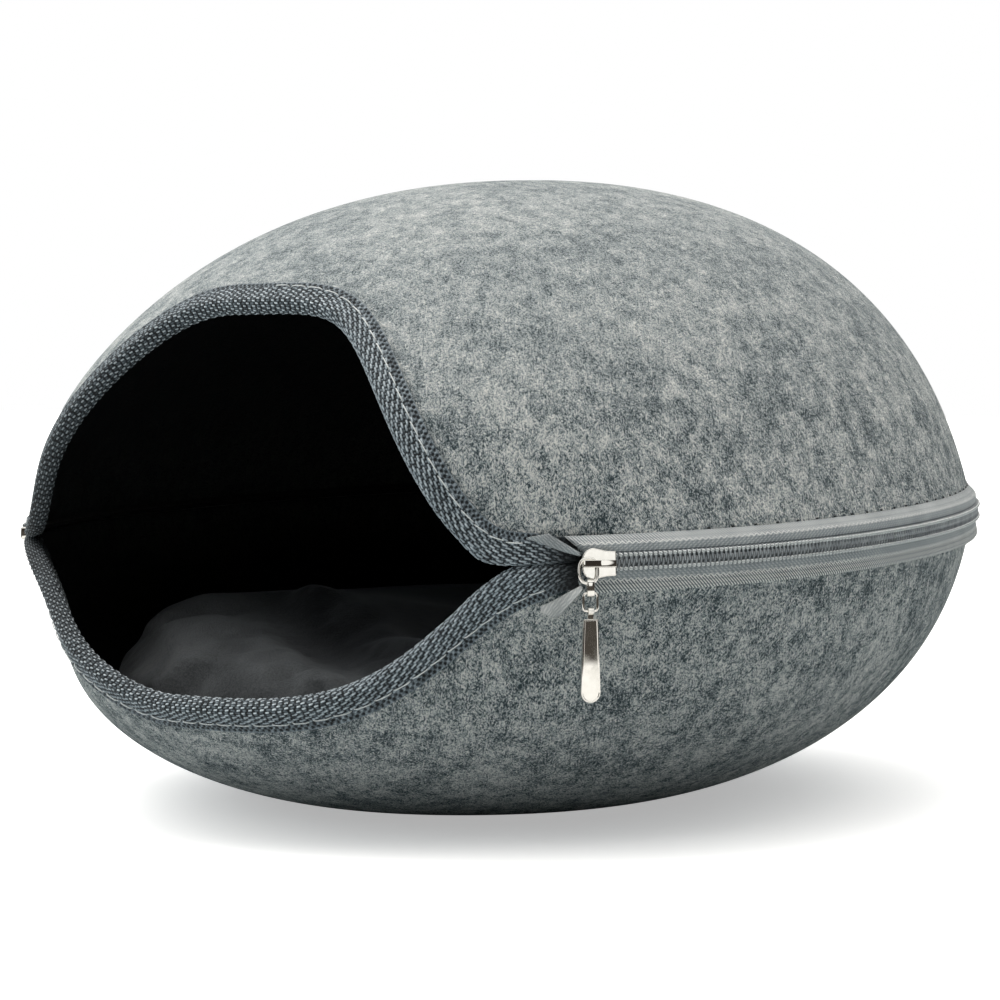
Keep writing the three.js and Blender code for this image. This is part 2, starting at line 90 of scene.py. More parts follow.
def new_piece(name, points, faces, material, slot, nodes=()):
    """A smooth mesh object whose faces all point outwards, riding on the bed."""
    mesh = bpy.data.meshes.new(name)
    mesh.from_pydata(np.asarray(points).reshape(-1, 3).tolist(), [], [list(face) for face in faces])
    build = bmesh.new()
    build.from_mesh(mesh)
    bmesh.ops.recalc_face_normals(build, faces=build.faces)
    build.to_mesh(mesh)
    build.free()
    mesh.shade_smooth()
    mesh.materials.append(material)
    piece = bpy.data.objects.new(name, mesh)
    scene.collection.objects.link(piece)
    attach(piece, "root")
    if nodes:
        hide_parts(*nodes)
    print(f"{name}: {sum(len(face) - 2 for face in faces)} triangles")
    return piece


def keep_values(piece, name, values):
    """Stores a number or a vector with each point, for the materials to read."""
    values = np.asarray(values, dtype=np.float32)
    kind, field = ("FLOAT", "value") if values.ndim == 1 else ("FLOAT_VECTOR", "vector")
    attribute = piece.data.attributes.new(name, kind, "POINT")
    attribute.data.foreach_set(field, values.ravel())


# %% [markdown]
# ## Shape of the felt shells
# Both shells are caps of a superellipsoid whose middle lies beyond the zip plane, which leaves a crease
# where they meet. A point is named by its angle round the bed, in degrees from the front towards +X, and by
# u, from 0 at the zip to 1 at the top of the dome or at the flat base. The formulas repeat those of the
# solids, so every piece below lands on its own solid.

# %% Plan of the shells
HALF_WIDTH = 200 * MM
FRONT_DEPTH = 222 * MM
BACK_DEPTH = 238 * MM
PINCH_ANGLE = 36
PINCH_SPREAD = 21.5


def wrap(angle):
    """The same angle between -180 and 180 degrees."""
    return (np.asarray(angle, dtype=float) + 180) % 360 - 180


def plan_radius(angle):
    """Radius of the oval plan, which is deeper at the back than at the front."""
    a = np.radians(angle)
    depth = np.where(np.cos(a) > 0, FRONT_DEPTH, BACK_DEPTH)
    return 1 / np.hypot(np.sin(a) / HALF_WIDTH, np.cos(a) / depth)


def pinch(angle):
    """How strongly the felt is drawn in beside the mouth's corners, from 0 to 1."""
    return np.exp(-(((np.abs(wrap(angle)) - PINCH_ANGLE) / PINCH_SPREAD) ** 2))


print(f"the plan is {2 * HALF_WIDTH:.2f} m wide and {FRONT_DEPTH + BACK_DEPTH:.2f} m deep")

# %% Dome and bowl
ZIP_HEIGHT = 117 * MM
DOME_RISE = 148 * MM
ZIP_SLOPE = 0.038
APEX_SHIFT = 20 * MM
BASE_RATIO = 0.34
DOME_CAP = {"power": 3, "root": 2.2, "below": 140 * MM}
BOWL_CAP = {"power": 3, "root": 1.65, "below": 51 * MM}
PINCH_ZIP = 14 * MM
PINCH_LIP = 13 * MM
LIP_START = 0.2
DOME_FADE = 0.25
BOWL_FADE = 0.54


def fade(u, length):
    return np.exp(-((u / length) ** 2))


def cap(u, rise, power, root, below):
    """Radius of a shell at a height, as a share of its radius at the zip."""
    t = (u * rise + below) / (rise + below)
    start = below / (rise + below)
    return np.maximum(0, (1 - t**power) / (1 - start**power)) ** (1 / root)


def dome(angle, u):
    drawn = PINCH_ZIP * fade(u, DOME_FADE) * pinch(angle)
    r = plan_radius(angle) * cap(u, DOME_RISE, **DOME_CAP) - drawn
    y = -r * np.cos(np.radians(angle)) + APEX_SHIFT * u
    z = ZIP_HEIGHT + DOME_RISE * u + ZIP_SLOPE * y
    return np.stack([r * np.sin(np.radians(angle)), y, z], axis=-1)


def bowl(angle, u):
    lip = PINCH_LIP * (1 - fade(u, LIP_START))
    drawn = (PINCH_ZIP + lip) * fade(u, BOWL_FADE) * pinch(angle)
    reach = BASE_RATIO + (1 - BASE_RATIO) * cap(u, ZIP_HEIGHT, **BOWL_CAP)
    r = plan_radius(angle) * reach - drawn
    y = -r * np.cos(np.radians(angle))
    return np.stack([r * np.sin(np.radians(angle)), y, (ZIP_HEIGHT + ZIP_SLOPE * y) * (1 - u)], axis=-1)


print("dome top at", dome(np.array(0.0), np.array(1.0)).round(4), "m")

# %% [markdown]
# ## Mouth and directions on a shell
# The mouth is cut through both shells. Its edge is a height u for each angle, and everything sewn along it
# needs the directions there: round the shell, up it and straight out of its face. Small differences give
# those directions for any formula, so nothing has to be derived by hand.

# %% Mouth edge
CORNER_LEFT = 47.5
CORNER_RIGHT = 49
FELT_EDGE = 2.4 * MM
RUN_SAMPLES = 6000
DOME = SimpleNamespace(
    point=dome, rise=DOME_RISE, side=1, reach=0.65, left=(3.8, 5.5), right=(4.2, 7.1)
)
BOWL = SimpleNamespace(
    point=bowl, rise=ZIP_HEIGHT, side=-1, reach=0.485, left=(1.7, 2.5), right=(4.1, 3.2)
)


def felt_edge(shell, angle):
    """Height u of the felt's cut edge. Outside the mouth it runs close beside the zip."""
    a = wrap(angle)
    t = np.minimum(1, np.abs(a) / np.where(a < 0, CORNER_LEFT, CORNER_RIGHT))
    power = np.where(a < 0, shell.left[0], shell.right[0])
    root = np.where(a < 0, shell.left[1], shell.right[1])
    return FELT_EDGE / shell.rise + shell.reach * (1 - t**power) ** root


def even_run(line, start, end, step):
    """Angles from start to end whose points on a line lie about one step apart, and their run in metres."""
    fine = np.linspace(start, end, RUN_SAMPLES)
    legs = np.linalg.norm(np.diff(line(fine), axis=0), axis=1)
    run = np.concatenate([[0], np.cumsum(legs)])
    at = np.linspace(0, run[-1], max(2, round(run[-1] / step)) + 1)
    return np.interp(at, run, fine), at


def mouth_line(shell):
    """The felt's cut edge as a formula, from an angle to a point."""
    return lambda angle: shell.point(angle, felt_edge(shell, angle))


def zip_line(shell):
    """The shell's edge at the zip as a formula, from an angle to a point."""
    return lambda angle: shell.point(angle, np.zeros_like(angle))


for label, shell in (("dome", DOME), ("bowl", BOWL)):
    rim = even_run(mouth_line(shell), -CORNER_LEFT, CORNER_RIGHT, 1 * MM)[1][-1]
    print(f"the mouth's edge on the {label} is {rim:.3f} m long")

# %% Directions and places on a shell
LEVEL_SHARE = 0.15
SMALL_TURN = 0.05
SMALL_RISE = 0.0005
TUCK = SimpleNamespace(angle=49.5, spread=3.2, fade=0.07, depth=5 * MM)


def unit(vectors):
    return vectors / np.maximum(np.linalg.norm(vectors, axis=-1, keepdims=True), 1e-12)


def smoothstep(value, low, high):
    t = np.clip((value - low) / (high - low), 0, 1)
    return t * t * (3 - 2 * t)


def directions(shell, angle, u):
    """Steps for each degree round the shell and for each u up it, and the way straight out of it."""
    around = shell.point(angle + SMALL_TURN, u) - shell.point(angle - SMALL_TURN, u)
    along = shell.point(angle, u + SMALL_RISE) - shell.point(angle, u - SMALL_RISE)
    around, along = around / (2 * SMALL_TURN), along / (2 * SMALL_RISE)
    return around, along, unit(np.cross(around, along)) * shell.side


def on_shell(shell, angle, u, lift):
    """Points that stand `lift` off the felt's outer face. Close to the zip they stand out level."""
    out = directions(shell, angle, u)[2]
    out[..., 2] *= smoothstep(u, 0, LEVEL_SHARE)
    return shell.point(angle, u) + unit(out) * np.asarray(lift)[..., None]


def tuck(angle, u):
    """How far the felt and its binding are drawn in behind the slider, where the zip starts."""
    return TUCK.depth * np.exp(-(((wrap(angle) - TUCK.angle) / TUCK.spread) ** 2) - (u / TUCK.fade) ** 2)


over_mouth = directions(DOME, np.array(0.0), np.array(0.8))[2]
print("straight out of the dome over the mouth:", over_mouth.round(2))

# %% [markdown]
# ## Shader helpers
# Every finish here is procedural. A node is added with its settings and its inputs in one call, where an
# input is either a plain value or the socket that feeds it. Effects that several finishes share become node
# groups, which are built once and then placed with values of their own.

# %% Nodes


def set_inputs(tree, node, inputs):
    """Gives each named input its value, or links it to the socket that feeds it."""
    for key, value in inputs.items():
        if isinstance(value, bpy.types.NodeSocket):
            tree.links.new(value, node.inputs[key])
        else:
            node.inputs[key].default_value = value


def add_node(tree, kind, inputs=None, **settings):
    node = tree.nodes.new(kind)
    for name, value in settings.items():
        setattr(node, name, value)
    set_inputs(tree, node, inputs or {})
    return node


def math_node(tree, operation, first, second=0.0, third=0.0):
    return add_node(tree, "ShaderNodeMath", {0: first, 1: second, 2: third}, operation=operation).outputs[0]


def map_range(tree, value, low, high, to_low=0.0, to_high=1.0):
    inputs = {"Value": value, "From Min": low, "From Max": high, "To Min": to_low, "To Max": to_high}
    return add_node(tree, "ShaderNodeMapRange", inputs, interpolation_type="SMOOTHSTEP").outputs["Result"]


def mix_colour(tree, share, first, second):
    return add_node(tree, "ShaderNodeMix", {0: share, 6: first, 7: second}, data_type="RGBA").outputs[2]


def mix_value(tree, share, first, second):
    return add_node(tree, "ShaderNodeMix", {0: share, 2: first, 3: second}, data_type="FLOAT").outputs[0]


def tone_ramp(tree, tone, *stops):
    """Colours along a tone, as pairs of position and colour."""
    node = add_node(tree, "ShaderNodeValToRGB", {"Fac": tone})
    ramp = node.color_ramp
    ramp.elements[0].position, ramp.elements[0].color = stops[0]
    ramp.elements[1].position, ramp.elements[1].color = stops[-1]
    for position, colour in stops[1:-1]:
        ramp.elements.new(position).color = colour
    return node.outputs["Color"]


print("materials that came with the frame:", len(bpy.data.materials))

# %% Groups and materials


def new_group(name, inputs, outputs):
    """An empty node group with a vector and named numbers going in, and named numbers coming out."""
    group = bpy.data.node_groups.new(name, "ShaderNodeTree")
    group.interface.new_socket("Vector", in_out="INPUT", socket_type="NodeSocketVector")
    for label, value in inputs.items():
        socket = group.interface.new_socket(label, in_out="INPUT", socket_type="NodeSocketFloat")
        socket.default_value = value
    for label in outputs:
        group.interface.new_socket(label, in_out="OUTPUT", socket_type="NodeSocketFloat")
    return group, group.nodes.new("NodeGroupInput").outputs, group.nodes.new("NodeGroupOutput")


def place_group(tree, group, **inputs):
    node = add_node(tree, "ShaderNodeGroup", node_tree=group)
    set_inputs(tree, node, inputs)
    return node.outputs


def new_material(name, **values):
    """A material with one Principled shader. The values are set straight on its sockets."""
    material = bpy.data.materials.new(name)
    material.use_nodes = True
    shader = material.node_tree.nodes["Principled BSDF"]
    for key, value in values.items():
        shader.inputs[key.replace("_", " ")].default_value = value
    return material, material.node_tree, shader


def add_bump(tree, shader, height, distance, strength):
    bump = add_node(tree, "ShaderNodeBump", {"Height": height, "Distance": distance, "Strength": strength})
    tree.links.new(bump.outputs["Normal"], shader.inputs["Normal"])


print("node groups so far:", len(bpy.data.node_groups))

# %% [markdown]
# ## Shared effects
# Felt, braid, thread and plush are all made of fibres. Two groups serve them: soft clouds of tone, and
# streaks that stand for single fibres. A streak is noise that is stretched far more along one direction than
# across it. Several directions together give the tangle of a felt. The zip's nylon and nickel use the same
# groups for dust and for fine marks.

# %% Clouds
CLOUD_RANGE = (0.25, 0.75)
CLOUDS, given, out = new_group("clouds", {"Size": 0.02}, ["Tone"])
scaled = add_node(
    CLOUDS,
    "ShaderNodeVectorMath",
    {0: given["Vector"], "Scale": math_node(CLOUDS, "DIVIDE", 1.0, given["Size"])},
    operation="SCALE",
)
noise = add_node(
    CLOUDS,
    "ShaderNodeTexNoise",
    {"Vector": scaled.outputs[0], "Scale": 1.0, "Detail": 3.0, "Roughness": 0.6},
)
CLOUDS.links.new(map_range(CLOUDS, noise.outputs["Fac"], *CLOUD_RANGE), out.inputs["Tone"])
print("group:", CLOUDS.name)

# %% Streaks of fibre
STREAK_TURNS = (
    (0, 0, 0), (0, 0, 90), (0, 90, 0), (0, 35, 45), (0, -35, 45), (0, 35, 135), (0, -35, 135),
)
STREAK_PALE = (0.55, 0.76)
STREAK_DARK = (0.45, 0.24)
SWIRLS = 260.0
STREAKS, given, out = new_group(
    "streaks", {"Length": 0.004, "Width": 0.001, "Curl": 0.003}, ["Pale", "Dark"]
)
swirl = add_node(STREAKS, "ShaderNodeTexNoise", {"Vector": given["Vector"], "Scale": SWIRLS, "Detail": 1.0})
centred = add_node(
    STREAKS, "ShaderNodeVectorMath", {0: swirl.outputs["Color"], 1: (0.5, 0.5, 0.5)}, operation="SUBTRACT"
)
moved = add_node(
    STREAKS, "ShaderNodeVectorMath", {0: centred.outputs[0], "Scale": given["Curl"]}, operation="SCALE"
)
curled = add_node(
    STREAKS, "ShaderNodeVectorMath", {0: given["Vector"], 1: moved.outputs[0]}, operation="ADD"
)
size = add_node(STREAKS, "ShaderNodeCombineXYZ", {0: given["Length"], 1: given["Width"], 2: given["Width"]})
pale = dark = None
for turn in STREAK_TURNS:
    mapping = add_node(
        STREAKS,
        "ShaderNodeMapping",
        {"Vector": curled.outputs[0], "Rotation": [math.radians(a) for a in turn], "Scale": size.outputs[0]},
        vector_type="TEXTURE",
    )
    inputs = {"Vector": mapping.outputs[0], "Scale": 1.0, "Detail": 1.0}
    noise = add_node(STREAKS, "ShaderNodeTexNoise", inputs)
    high = map_range(STREAKS, noise.outputs["Fac"], *STREAK_PALE)
    low = map_range(STREAKS, noise.outputs["Fac"], *STREAK_DARK)
    pale = high if pale is None else math_node(STREAKS, "MAXIMUM", pale, high)
    dark = low if dark is None else math_node(STREAKS, "MAXIMUM", dark, low)
STREAKS.links.new(pale, out.inputs["Pale"])
STREAKS.links.new(dark, out.inputs["Dark"])
print("group:", STREAKS.name, "with", len(STREAK_TURNS), "directions")

# %% [markdown]
# The braid and the zip tapes share a third effect, a plain weave. Warp ends run along the strip and weft
# picks cross it, and each passes over and under in turn. A yarn is round across itself and rises where it
# passes over. The higher yarn at each place is the surface, and what neither covers is a dark hole. Where
# the strip is stretched the weave is looser: the warp shows as short crowns, and the weft spreads. The same
# formula is written twice: here in numbers, to raise the braid's mesh, and then as a node group.

# %% Plain weave in numbers
WARP_HALF = 0.47
WEFT_HALF = 0.17
WARP_LOW = 0.2
WARP_TURN = (-0.5, 0.4)
WEFT_LOW = 0.05
WEFT_HIGH = 0.5
WEFT_TURN = (-0.3, 0.8)
ROW_SHIFT = 0.16
ROW_TURN = 2.4
LOOSE_CUT = 0.8
LOOSE_WEFT = 0.58
LOOSE_WIDE = 1.5


def yarn_round(side, half):
    return np.sqrt(np.clip(1 - (side / half) ** 2, 0, 1))


def plain_weave(along, across, tilt, loose=0.0):
    """Height from 0 in the holes to 1 on the crowns. Along is counted in picks, across in ends."""
    end = np.round(across)
    along = along + ROW_SHIFT * np.sin(ROW_TURN * end)
    pick = np.round(along)
    run = along - end
    run = run - 2 * np.round(run / 2)
    cut = LOOSE_CUT * loose
    over = smoothstep(np.cos(np.pi * run), WARP_TURN[0] + cut, WARP_TURN[1] + cut / 2)
    warp = WARP_LOW + (1 - WARP_LOW) * over
    crown = WEFT_HIGH + (LOOSE_WEFT - WEFT_HIGH) * loose
    weft = WEFT_LOW + (crown - WEFT_LOW) * smoothstep(-np.cos(np.pi * (across - pick)), *WEFT_TURN)
    warp = warp * yarn_round(across - end - tilt * run, WARP_HALF)
    return np.maximum(warp, weft * yarn_round(along - pick, WEFT_HALF * (1 + LOOSE_WIDE * loose)))


place = np.linspace(0, 8, 400)
print(f"mean height of the weave: {plain_weave(*np.meshgrid(place, place), 0.3).mean():.2f}")

# %% Plain weave as a group
WEAVE, given, out = new_group(
    "plain weave", {"Pick": 0.002, "End": 0.002, "Tilt": 0.3, "Loose": 0.0}, ["Height"]
)


def weave_yarn(side, half, rise):
    """The rounded height of one yarn, from the distance to its middle and its rise."""
    share = math_node(WEAVE, "DIVIDE", side, half)
    square = math_node(WEAVE, "MULTIPLY", share, share)
    under = math_node(WEAVE, "MAXIMUM", math_node(WEAVE, "SUBTRACT", 1.0, square), 0.0)
    return math_node(WEAVE, "MULTIPLY", math_node(WEAVE, "SQRT", under), rise)


parts = add_node(WEAVE, "ShaderNodeSeparateXYZ", {0: given["Vector"]}).outputs
along = math_node(WEAVE, "DIVIDE", parts["X"], given["Pick"])
across = math_node(WEAVE, "DIVIDE", parts["Y"], given["End"])
end = math_node(WEAVE, "ROUND", across)
shift = math_node(WEAVE, "SINE", math_node(WEAVE, "MULTIPLY", end, ROW_TURN))
along = math_node(WEAVE, "MULTIPLY_ADD", shift, ROW_SHIFT, along)
pick = math_node(WEAVE, "ROUND", along)
run = math_node(WEAVE, "SUBTRACT", along, end)
half_run = math_node(WEAVE, "ROUND", math_node(WEAVE, "MULTIPLY", run, 0.5))
run = math_node(WEAVE, "MULTIPLY_ADD", half_run, -2.0, run)
side = math_node(WEAVE, "SUBTRACT", across, end)
side = math_node(WEAVE, "SUBTRACT", side, math_node(WEAVE, "MULTIPLY", given["Tilt"], run))
over = math_node(WEAVE, "COSINE", math_node(WEAVE, "MULTIPLY", run, math.pi))
low = math_node(WEAVE, "MULTIPLY_ADD", given["Loose"], LOOSE_CUT, WARP_TURN[0])
high = math_node(WEAVE, "MULTIPLY_ADD", given["Loose"], LOOSE_CUT / 2, WARP_TURN[1])
warp = weave_yarn(side, WARP_HALF, map_range(WEAVE, over, low, high, WARP_LOW, 1.0))
beside = math_node(WEAVE, "MULTIPLY", math_node(WEAVE, "SUBTRACT", across, pick), math.pi)
over = math_node(WEAVE, "COSINE", beside)
side = math_node(WEAVE, "SUBTRACT", along, pick)
crown = math_node(WEAVE, "MULTIPLY_ADD", given["Loose"], LOOSE_WEFT - WEFT_HIGH, WEFT_HIGH)
half = math_node(WEAVE, "MULTIPLY_ADD", given["Loose"], WEFT_HALF * LOOSE_WIDE, WEFT_HALF)
rise = map_range(WEAVE, over, -WEFT_TURN[0], -WEFT_TURN[1], WEFT_LOW, crown)
weft = weave_yarn(side, half, rise)
WEAVE.links.new(math_node(WEAVE, "MAXIMUM", warp, weft), out.inputs["Height"])
print("group:", WEAVE.name)

# %% [markdown]
# ## Felt finish
# The felt is a grey melange: pale, mid and dark fibres carded together and needled flat. Clouds of three
# sizes give the uneven mixing and the small lumps, and streaks give the fibres, which moulding has drawn out
# up the walls. The same tones drive a fine bump. The melange's contrast is set by the way the surface faces:
# higher on the steep walls and lower on the top, which the light meets square on. That is painted fibre
# shade.
# The face inside the hollow lies in shade and shows almost black, so the points there carry a mark that
# paints that shade into its colour.

# %% Felt material
FELT_DARK = (0.037, 0.058, 0.066, 1)
FELT_MID = (0.358, 0.398, 0.411, 1)
FELT_PALE = (0.825, 0.815, 0.78, 1)
# Near-black of painted shade, for the parts of the bed that lie in deep shade
FELT_PAINTED_SHADE = (0.004, 0.0045, 0.006, 1)
BROAD = SimpleNamespace(size=38 * MM, share=0.24, lift=0.025)
SMALL = SimpleNamespace(size=8.5 * MM, share=0.3)
LUMPS = SimpleNamespace(size=4.5 * MM, share=0.28, relief=0.7)
FIBRES = SimpleNamespace(length=4.8 * MM, width=0.5 * MM, curl=1.6 * MM, share=0.47)
FELT_DRAWN = (1.0, 1.0, 0.62)
FELT_MIDDLE = 0.4
WALL_CONTRAST = 1.45
TOP_CONTRAST = 0.74
TOP_FACING = 0.95
FELT_BUMP = 1.3 * MM

felt, tree, shader = new_material("felt", Roughness=0.95, Sheen_Weight=0.08, Sheen_Roughness=0.6)
shader.inputs["Specular IOR Level"].default_value = 0.1
place = add_node(tree, "ShaderNodeTexCoord").outputs["Object"]
broad = place_group(tree, CLOUDS, Vector=place, Size=BROAD.size)["Tone"]
small = place_group(tree, CLOUDS, Vector=place, Size=SMALL.size)["Tone"]
drawn = add_node(tree, "ShaderNodeVectorMath", {0: place, 1: FELT_DRAWN}, operation="MULTIPLY").outputs[0]
lumps = place_group(tree, CLOUDS, Vector=drawn, Size=LUMPS.size)["Tone"]
fibres = place_group(
    tree, STREAKS, Vector=drawn, Length=FIBRES.length, Width=FIBRES.width, Curl=FIBRES.curl
)
tone = math_node(tree, "MULTIPLY_ADD", broad, BROAD.share, BROAD.lift)
tone = math_node(tree, "MULTIPLY_ADD", small, SMALL.share, tone)
tone = math_node(tree, "MULTIPLY_ADD", lumps, LUMPS.share, tone)
tone = math_node(tree, "MULTIPLY_ADD", fibres["Pale"], FIBRES.share, tone)
tone = math_node(tree, "MULTIPLY_ADD", fibres["Dark"], -FIBRES.share, tone)
facing = add_node(tree, "ShaderNodeNewGeometry").outputs["Normal"]
upward = add_node(tree, "ShaderNodeSeparateXYZ", {0: facing}).outputs["Z"]
# Painted fibre shade: the melange's contrast rises on the steep walls and falls on the top
facing_shade_contrast = map_range(tree, upward, 0.0, TOP_FACING, WALL_CONTRAST, TOP_CONTRAST)
beyond = math_node(tree, "SUBTRACT", tone, FELT_MIDDLE)
tone = math_node(tree, "MULTIPLY_ADD", beyond, facing_shade_contrast, FELT_MIDDLE)
relief = math_node(tree, "MULTIPLY_ADD", lumps, LUMPS.relief, tone)
melange = tone_ramp(tree, tone, (0.0, FELT_DARK), (0.44, FELT_MID), (0.95, FELT_PALE))
# Painted shade: points inside the hollow are mixed towards near-black
hollow_and_painted_shade = add_node(tree, "ShaderNodeAttribute", attribute_name="hollow_and_painted_shade").outputs["Fac"]
tree.links.new(mix_colour(tree, hollow_and_painted_shade, melange, FELT_PAINTED_SHADE), shader.inputs["Base Color"])
add_bump(tree, shader, relief, FELT_BUMP, 0.7)
print("material:", felt.name)

# %% [markdown]
# ## Felt shells
# Each shell is one sheet of felt, moulded over a form. Columns of points climb from the cut edge to the top
# of the dome, or to the base of the bowl, on the outer face and again on the face inside. They are spaced
# evenly along the edge, so that the curve of the mouth stays smooth.

# %% Skins of felt
FELT = 4 * MM
FELT_ROWS = (76, 44)
FELT_LAST = 0.996
FELT_CLOSER = 1.8
BASE_RINGS = 6
BASE_LAST = 0.1


def felt_skin(shell, angles, depth, rows):
    edge = felt_edge(shell, angles)
    share = FELT_LAST * (1 - (1 - np.linspace(0, 1, rows)) ** FELT_CLOSER)
    u = edge[None, :] + (1 - edge[None, :]) * share[:, None]
    turned = np.broadcast_to(angles, u.shape)
    return on_shell(shell, turned, u, -depth - tuck(turned, u))


def base_rings(angles, height):
    rim = bowl(angles, np.ones_like(angles))
    shrink = np.linspace(1, BASE_LAST, BASE_RINGS)[:, None, None]
    return rim[None] * shrink + np.array([0, 0, height])


def felt_skins(shell, angles):
    """Rows of points of the outer skin and of the skin inside the bed, each closed by a last point."""
    for depth, rows in zip((0, FELT), FELT_ROWS):
        skin = felt_skin(shell, angles, depth, rows)
        pole = dome(np.array(0.0), np.array(1.0)) - [0, 0, depth]
        if shell is BOWL:
            skin = np.concatenate([skin, base_rings(angles, depth)])
            pole = np.array([0, 0, depth])
        yield skin, pole


print(f"felt: {FELT / MM:.0f} mm thick, {FELT_ROWS[0]} rows of points outside and {FELT_ROWS[1]} inside")

# %% Felt top and bottom
FELT_COLUMN = 4 * MM
RIM_DARK = 0.95
RIM_ROWS = 12


def felt_shell(name, shell, node):
    angles = even_run(mouth_line(shell), -CORNER_LEFT, 360 - CORNER_LEFT, FELT_COLUMN)[0][:-1]
    columns = len(angles)
    here = np.arange(columns)
    beside = (here + 1) % columns
    points, faces, marks, edges = [], [], [], []
    for mark, (skin, pole) in enumerate(felt_skins(shell, angles)):
        first = sum(map(len, points))
        points += [skin.reshape(-1, 3), pole[None]]
        faces += [list(quad) for quad in grid_quads(len(skin), columns, True, first)]
        last = first + (len(skin) - 1) * columns
        faces += [[last + a, last + b, last + columns] for a, b in zip(here, beside)]
        # Painted shade: the inner skin is marked to show near-black, a little less at the rim; the outer
        # skin is not marked
        deep = RIM_DARK + (1 - RIM_DARK) * smoothstep(np.arange(len(skin)), 0, RIM_ROWS)
        marks.append(mark * np.append(np.repeat(deep, columns), 1.0))
        edges.append(first)
    faces += [[edges[0] + a, edges[0] + b, edges[1] + b, edges[1] + a] for a, b in zip(here, beside)]
    piece = new_piece(name, np.concatenate(points), faces, felt, "felt", [node])
    keep_values(piece, "hollow_and_painted_shade", np.concatenate(marks))
    return piece


felt_dome = felt_shell("felt_dome", DOME, "felt_top")
felt_bowl = felt_shell("felt_bowl", BOWL, "felt_bottom")

# %% [markdown]
# ## Braid finish
# The mouth is bound with a plain-woven braid of thick slate yarn. Its crowns catch the light and the holes
# between them are almost black, and the colours follow the weave's height to paint that in as well: painted
# shade in the holes and a painted highlight on the crowns. The mesh keeps its place along and across the
# strip at every point, so the weave group can draw the holes exactly between the crowns that the mesh really
# has.
# Other marks on the mesh say where the braid is stretched, where its selvage lies and where painted shade
# darkens it.

# %% Braid material
PICK = 2.45 * MM
END = 1.03 * MM
FLOAT_TILT = 0.3
BRAID_PAINTED_SHADE = (0.006, 0.008, 0.010, 1)
BRAID_YARN = (0.115, 0.142, 0.162, 1)
BRAID_CROWN_LIT = (0.38, 0.43, 0.465, 1)
BRAID_CROWN_HIGHLIGHT = (0.66, 0.72, 0.76, 1)
CROWN_RANGE = (0.55, 0.95)
CROWN_HIGHLIGHT_GAIN = (-0.1, 0.32)
FLECKS = SimpleNamespace(size=1.2 * MM, share=0.5)
YARN = SimpleNamespace(length=2.4 * MM, width=0.3 * MM, curl=0.3 * MM, share=0.2)
PATCHES = SimpleNamespace(size=4.5 * MM, share=0.34)
BRAID_CONTRAST = 0.75
BRAID_BUMP = 0.25 * MM

braid, tree, shader = new_material("braid", Roughness=0.6, Sheen_Weight=0.1, Sheen_Roughness=0.4)
shader.inputs["Specular IOR Level"].default_value = 0.3
strip = add_node(tree, "ShaderNodeAttribute", attribute_name="strip").outputs["Vector"]
loose = add_node(tree, "ShaderNodeAttribute", attribute_name="loose").outputs["Fac"]
weave = place_group(tree, WEAVE, Vector=strip, Pick=PICK, End=END, Tilt=FLOAT_TILT, Loose=loose)["Height"]
yarn = place_group(tree, STREAKS, Vector=strip, Length=YARN.length, Width=YARN.width, Curl=YARN.curl)
patch = place_group(tree, CLOUDS, Vector=strip, Size=PATCHES.size)["Tone"]
edge = add_node(tree, "ShaderNodeAttribute", attribute_name="edge").outputs["Vector"]
edge = add_node(tree, "ShaderNodeSeparateXYZ", {0: edge}).outputs
# Painted highlight: loose crowns are lifted in tone, and the places between them lowered
crown = map_range(tree, weave, *CROWN_RANGE, *CROWN_HIGHLIGHT_GAIN)
weave = math_node(tree, "MULTIPLY_ADD", crown, loose, weave)
weave = mix_value(tree, edge["X"], weave, edge["Y"])
fleck = place_group(tree, CLOUDS, Vector=strip, Size=FLECKS.size)["Tone"]
weave = math_node(tree, "MULTIPLY_ADD", math_node(tree, "SUBTRACT", fleck, 0.5), FLECKS.share, weave)
tone = math_node(tree, "MULTIPLY_ADD", yarn["Pale"], YARN.share, weave)
tone = math_node(tree, "MULTIPLY_ADD", yarn["Dark"], -YARN.share, tone)
tone = math_node(tree, "MULTIPLY_ADD", patch, PATCHES.share, tone)
tone = math_node(tree, "SUBTRACT", tone, PATCHES.share / 2)
level = math_node(tree, "MULTIPLY", tone, BRAID_CONTRAST)
# Partly painted light: low tones give painted shade in the holes and high tones a painted highlight on the
# crowns; flecks, streaks and patches are the yarn's own tone
colours = tone_ramp(
    tree, level, (0.06, BRAID_PAINTED_SHADE), (0.375, BRAID_YARN), (0.75, BRAID_CROWN_LIT), (1.0, BRAID_CROWN_HIGHLIGHT)
)
# Painted shade: marked parts of the braid are mixed towards near-black
hollow_and_painted_shade = add_node(tree, "ShaderNodeAttribute", attribute_name="hollow_and_painted_shade").outputs["Fac"]
tree.links.new(mix_colour(tree, hollow_and_painted_shade, colours, BRAID_PAINTED_SHADE), shader.inputs["Base Color"])
add_bump(tree, shader, tone, BRAID_BUMP, 0.6)
print("material:", braid.name)

# %% [markdown]
# ## Bindings
# A binding is a strip of braid folded over the felt's cut edge. Its section runs down the outer face, round
# the fold and up the face inside. The strip is laid along the edge in steps of about half a millimetre, and
# the weave raises each point, which gives the scalloped outline that the photograph shows at the fold. The
# braid's outer edge is a selvage with two rows of small holes.

# %% Section of the bindings
BRAID_LEG = 9.6 * MM
BRAID_FACE = 1.3 * MM
BRAID_BACK = -6.0 * MM
BRAID_FOLD = 2.3 * MM
BRAID_FINE = 74
BRAID_COARSE = 14
FOLD_STEPS = 60


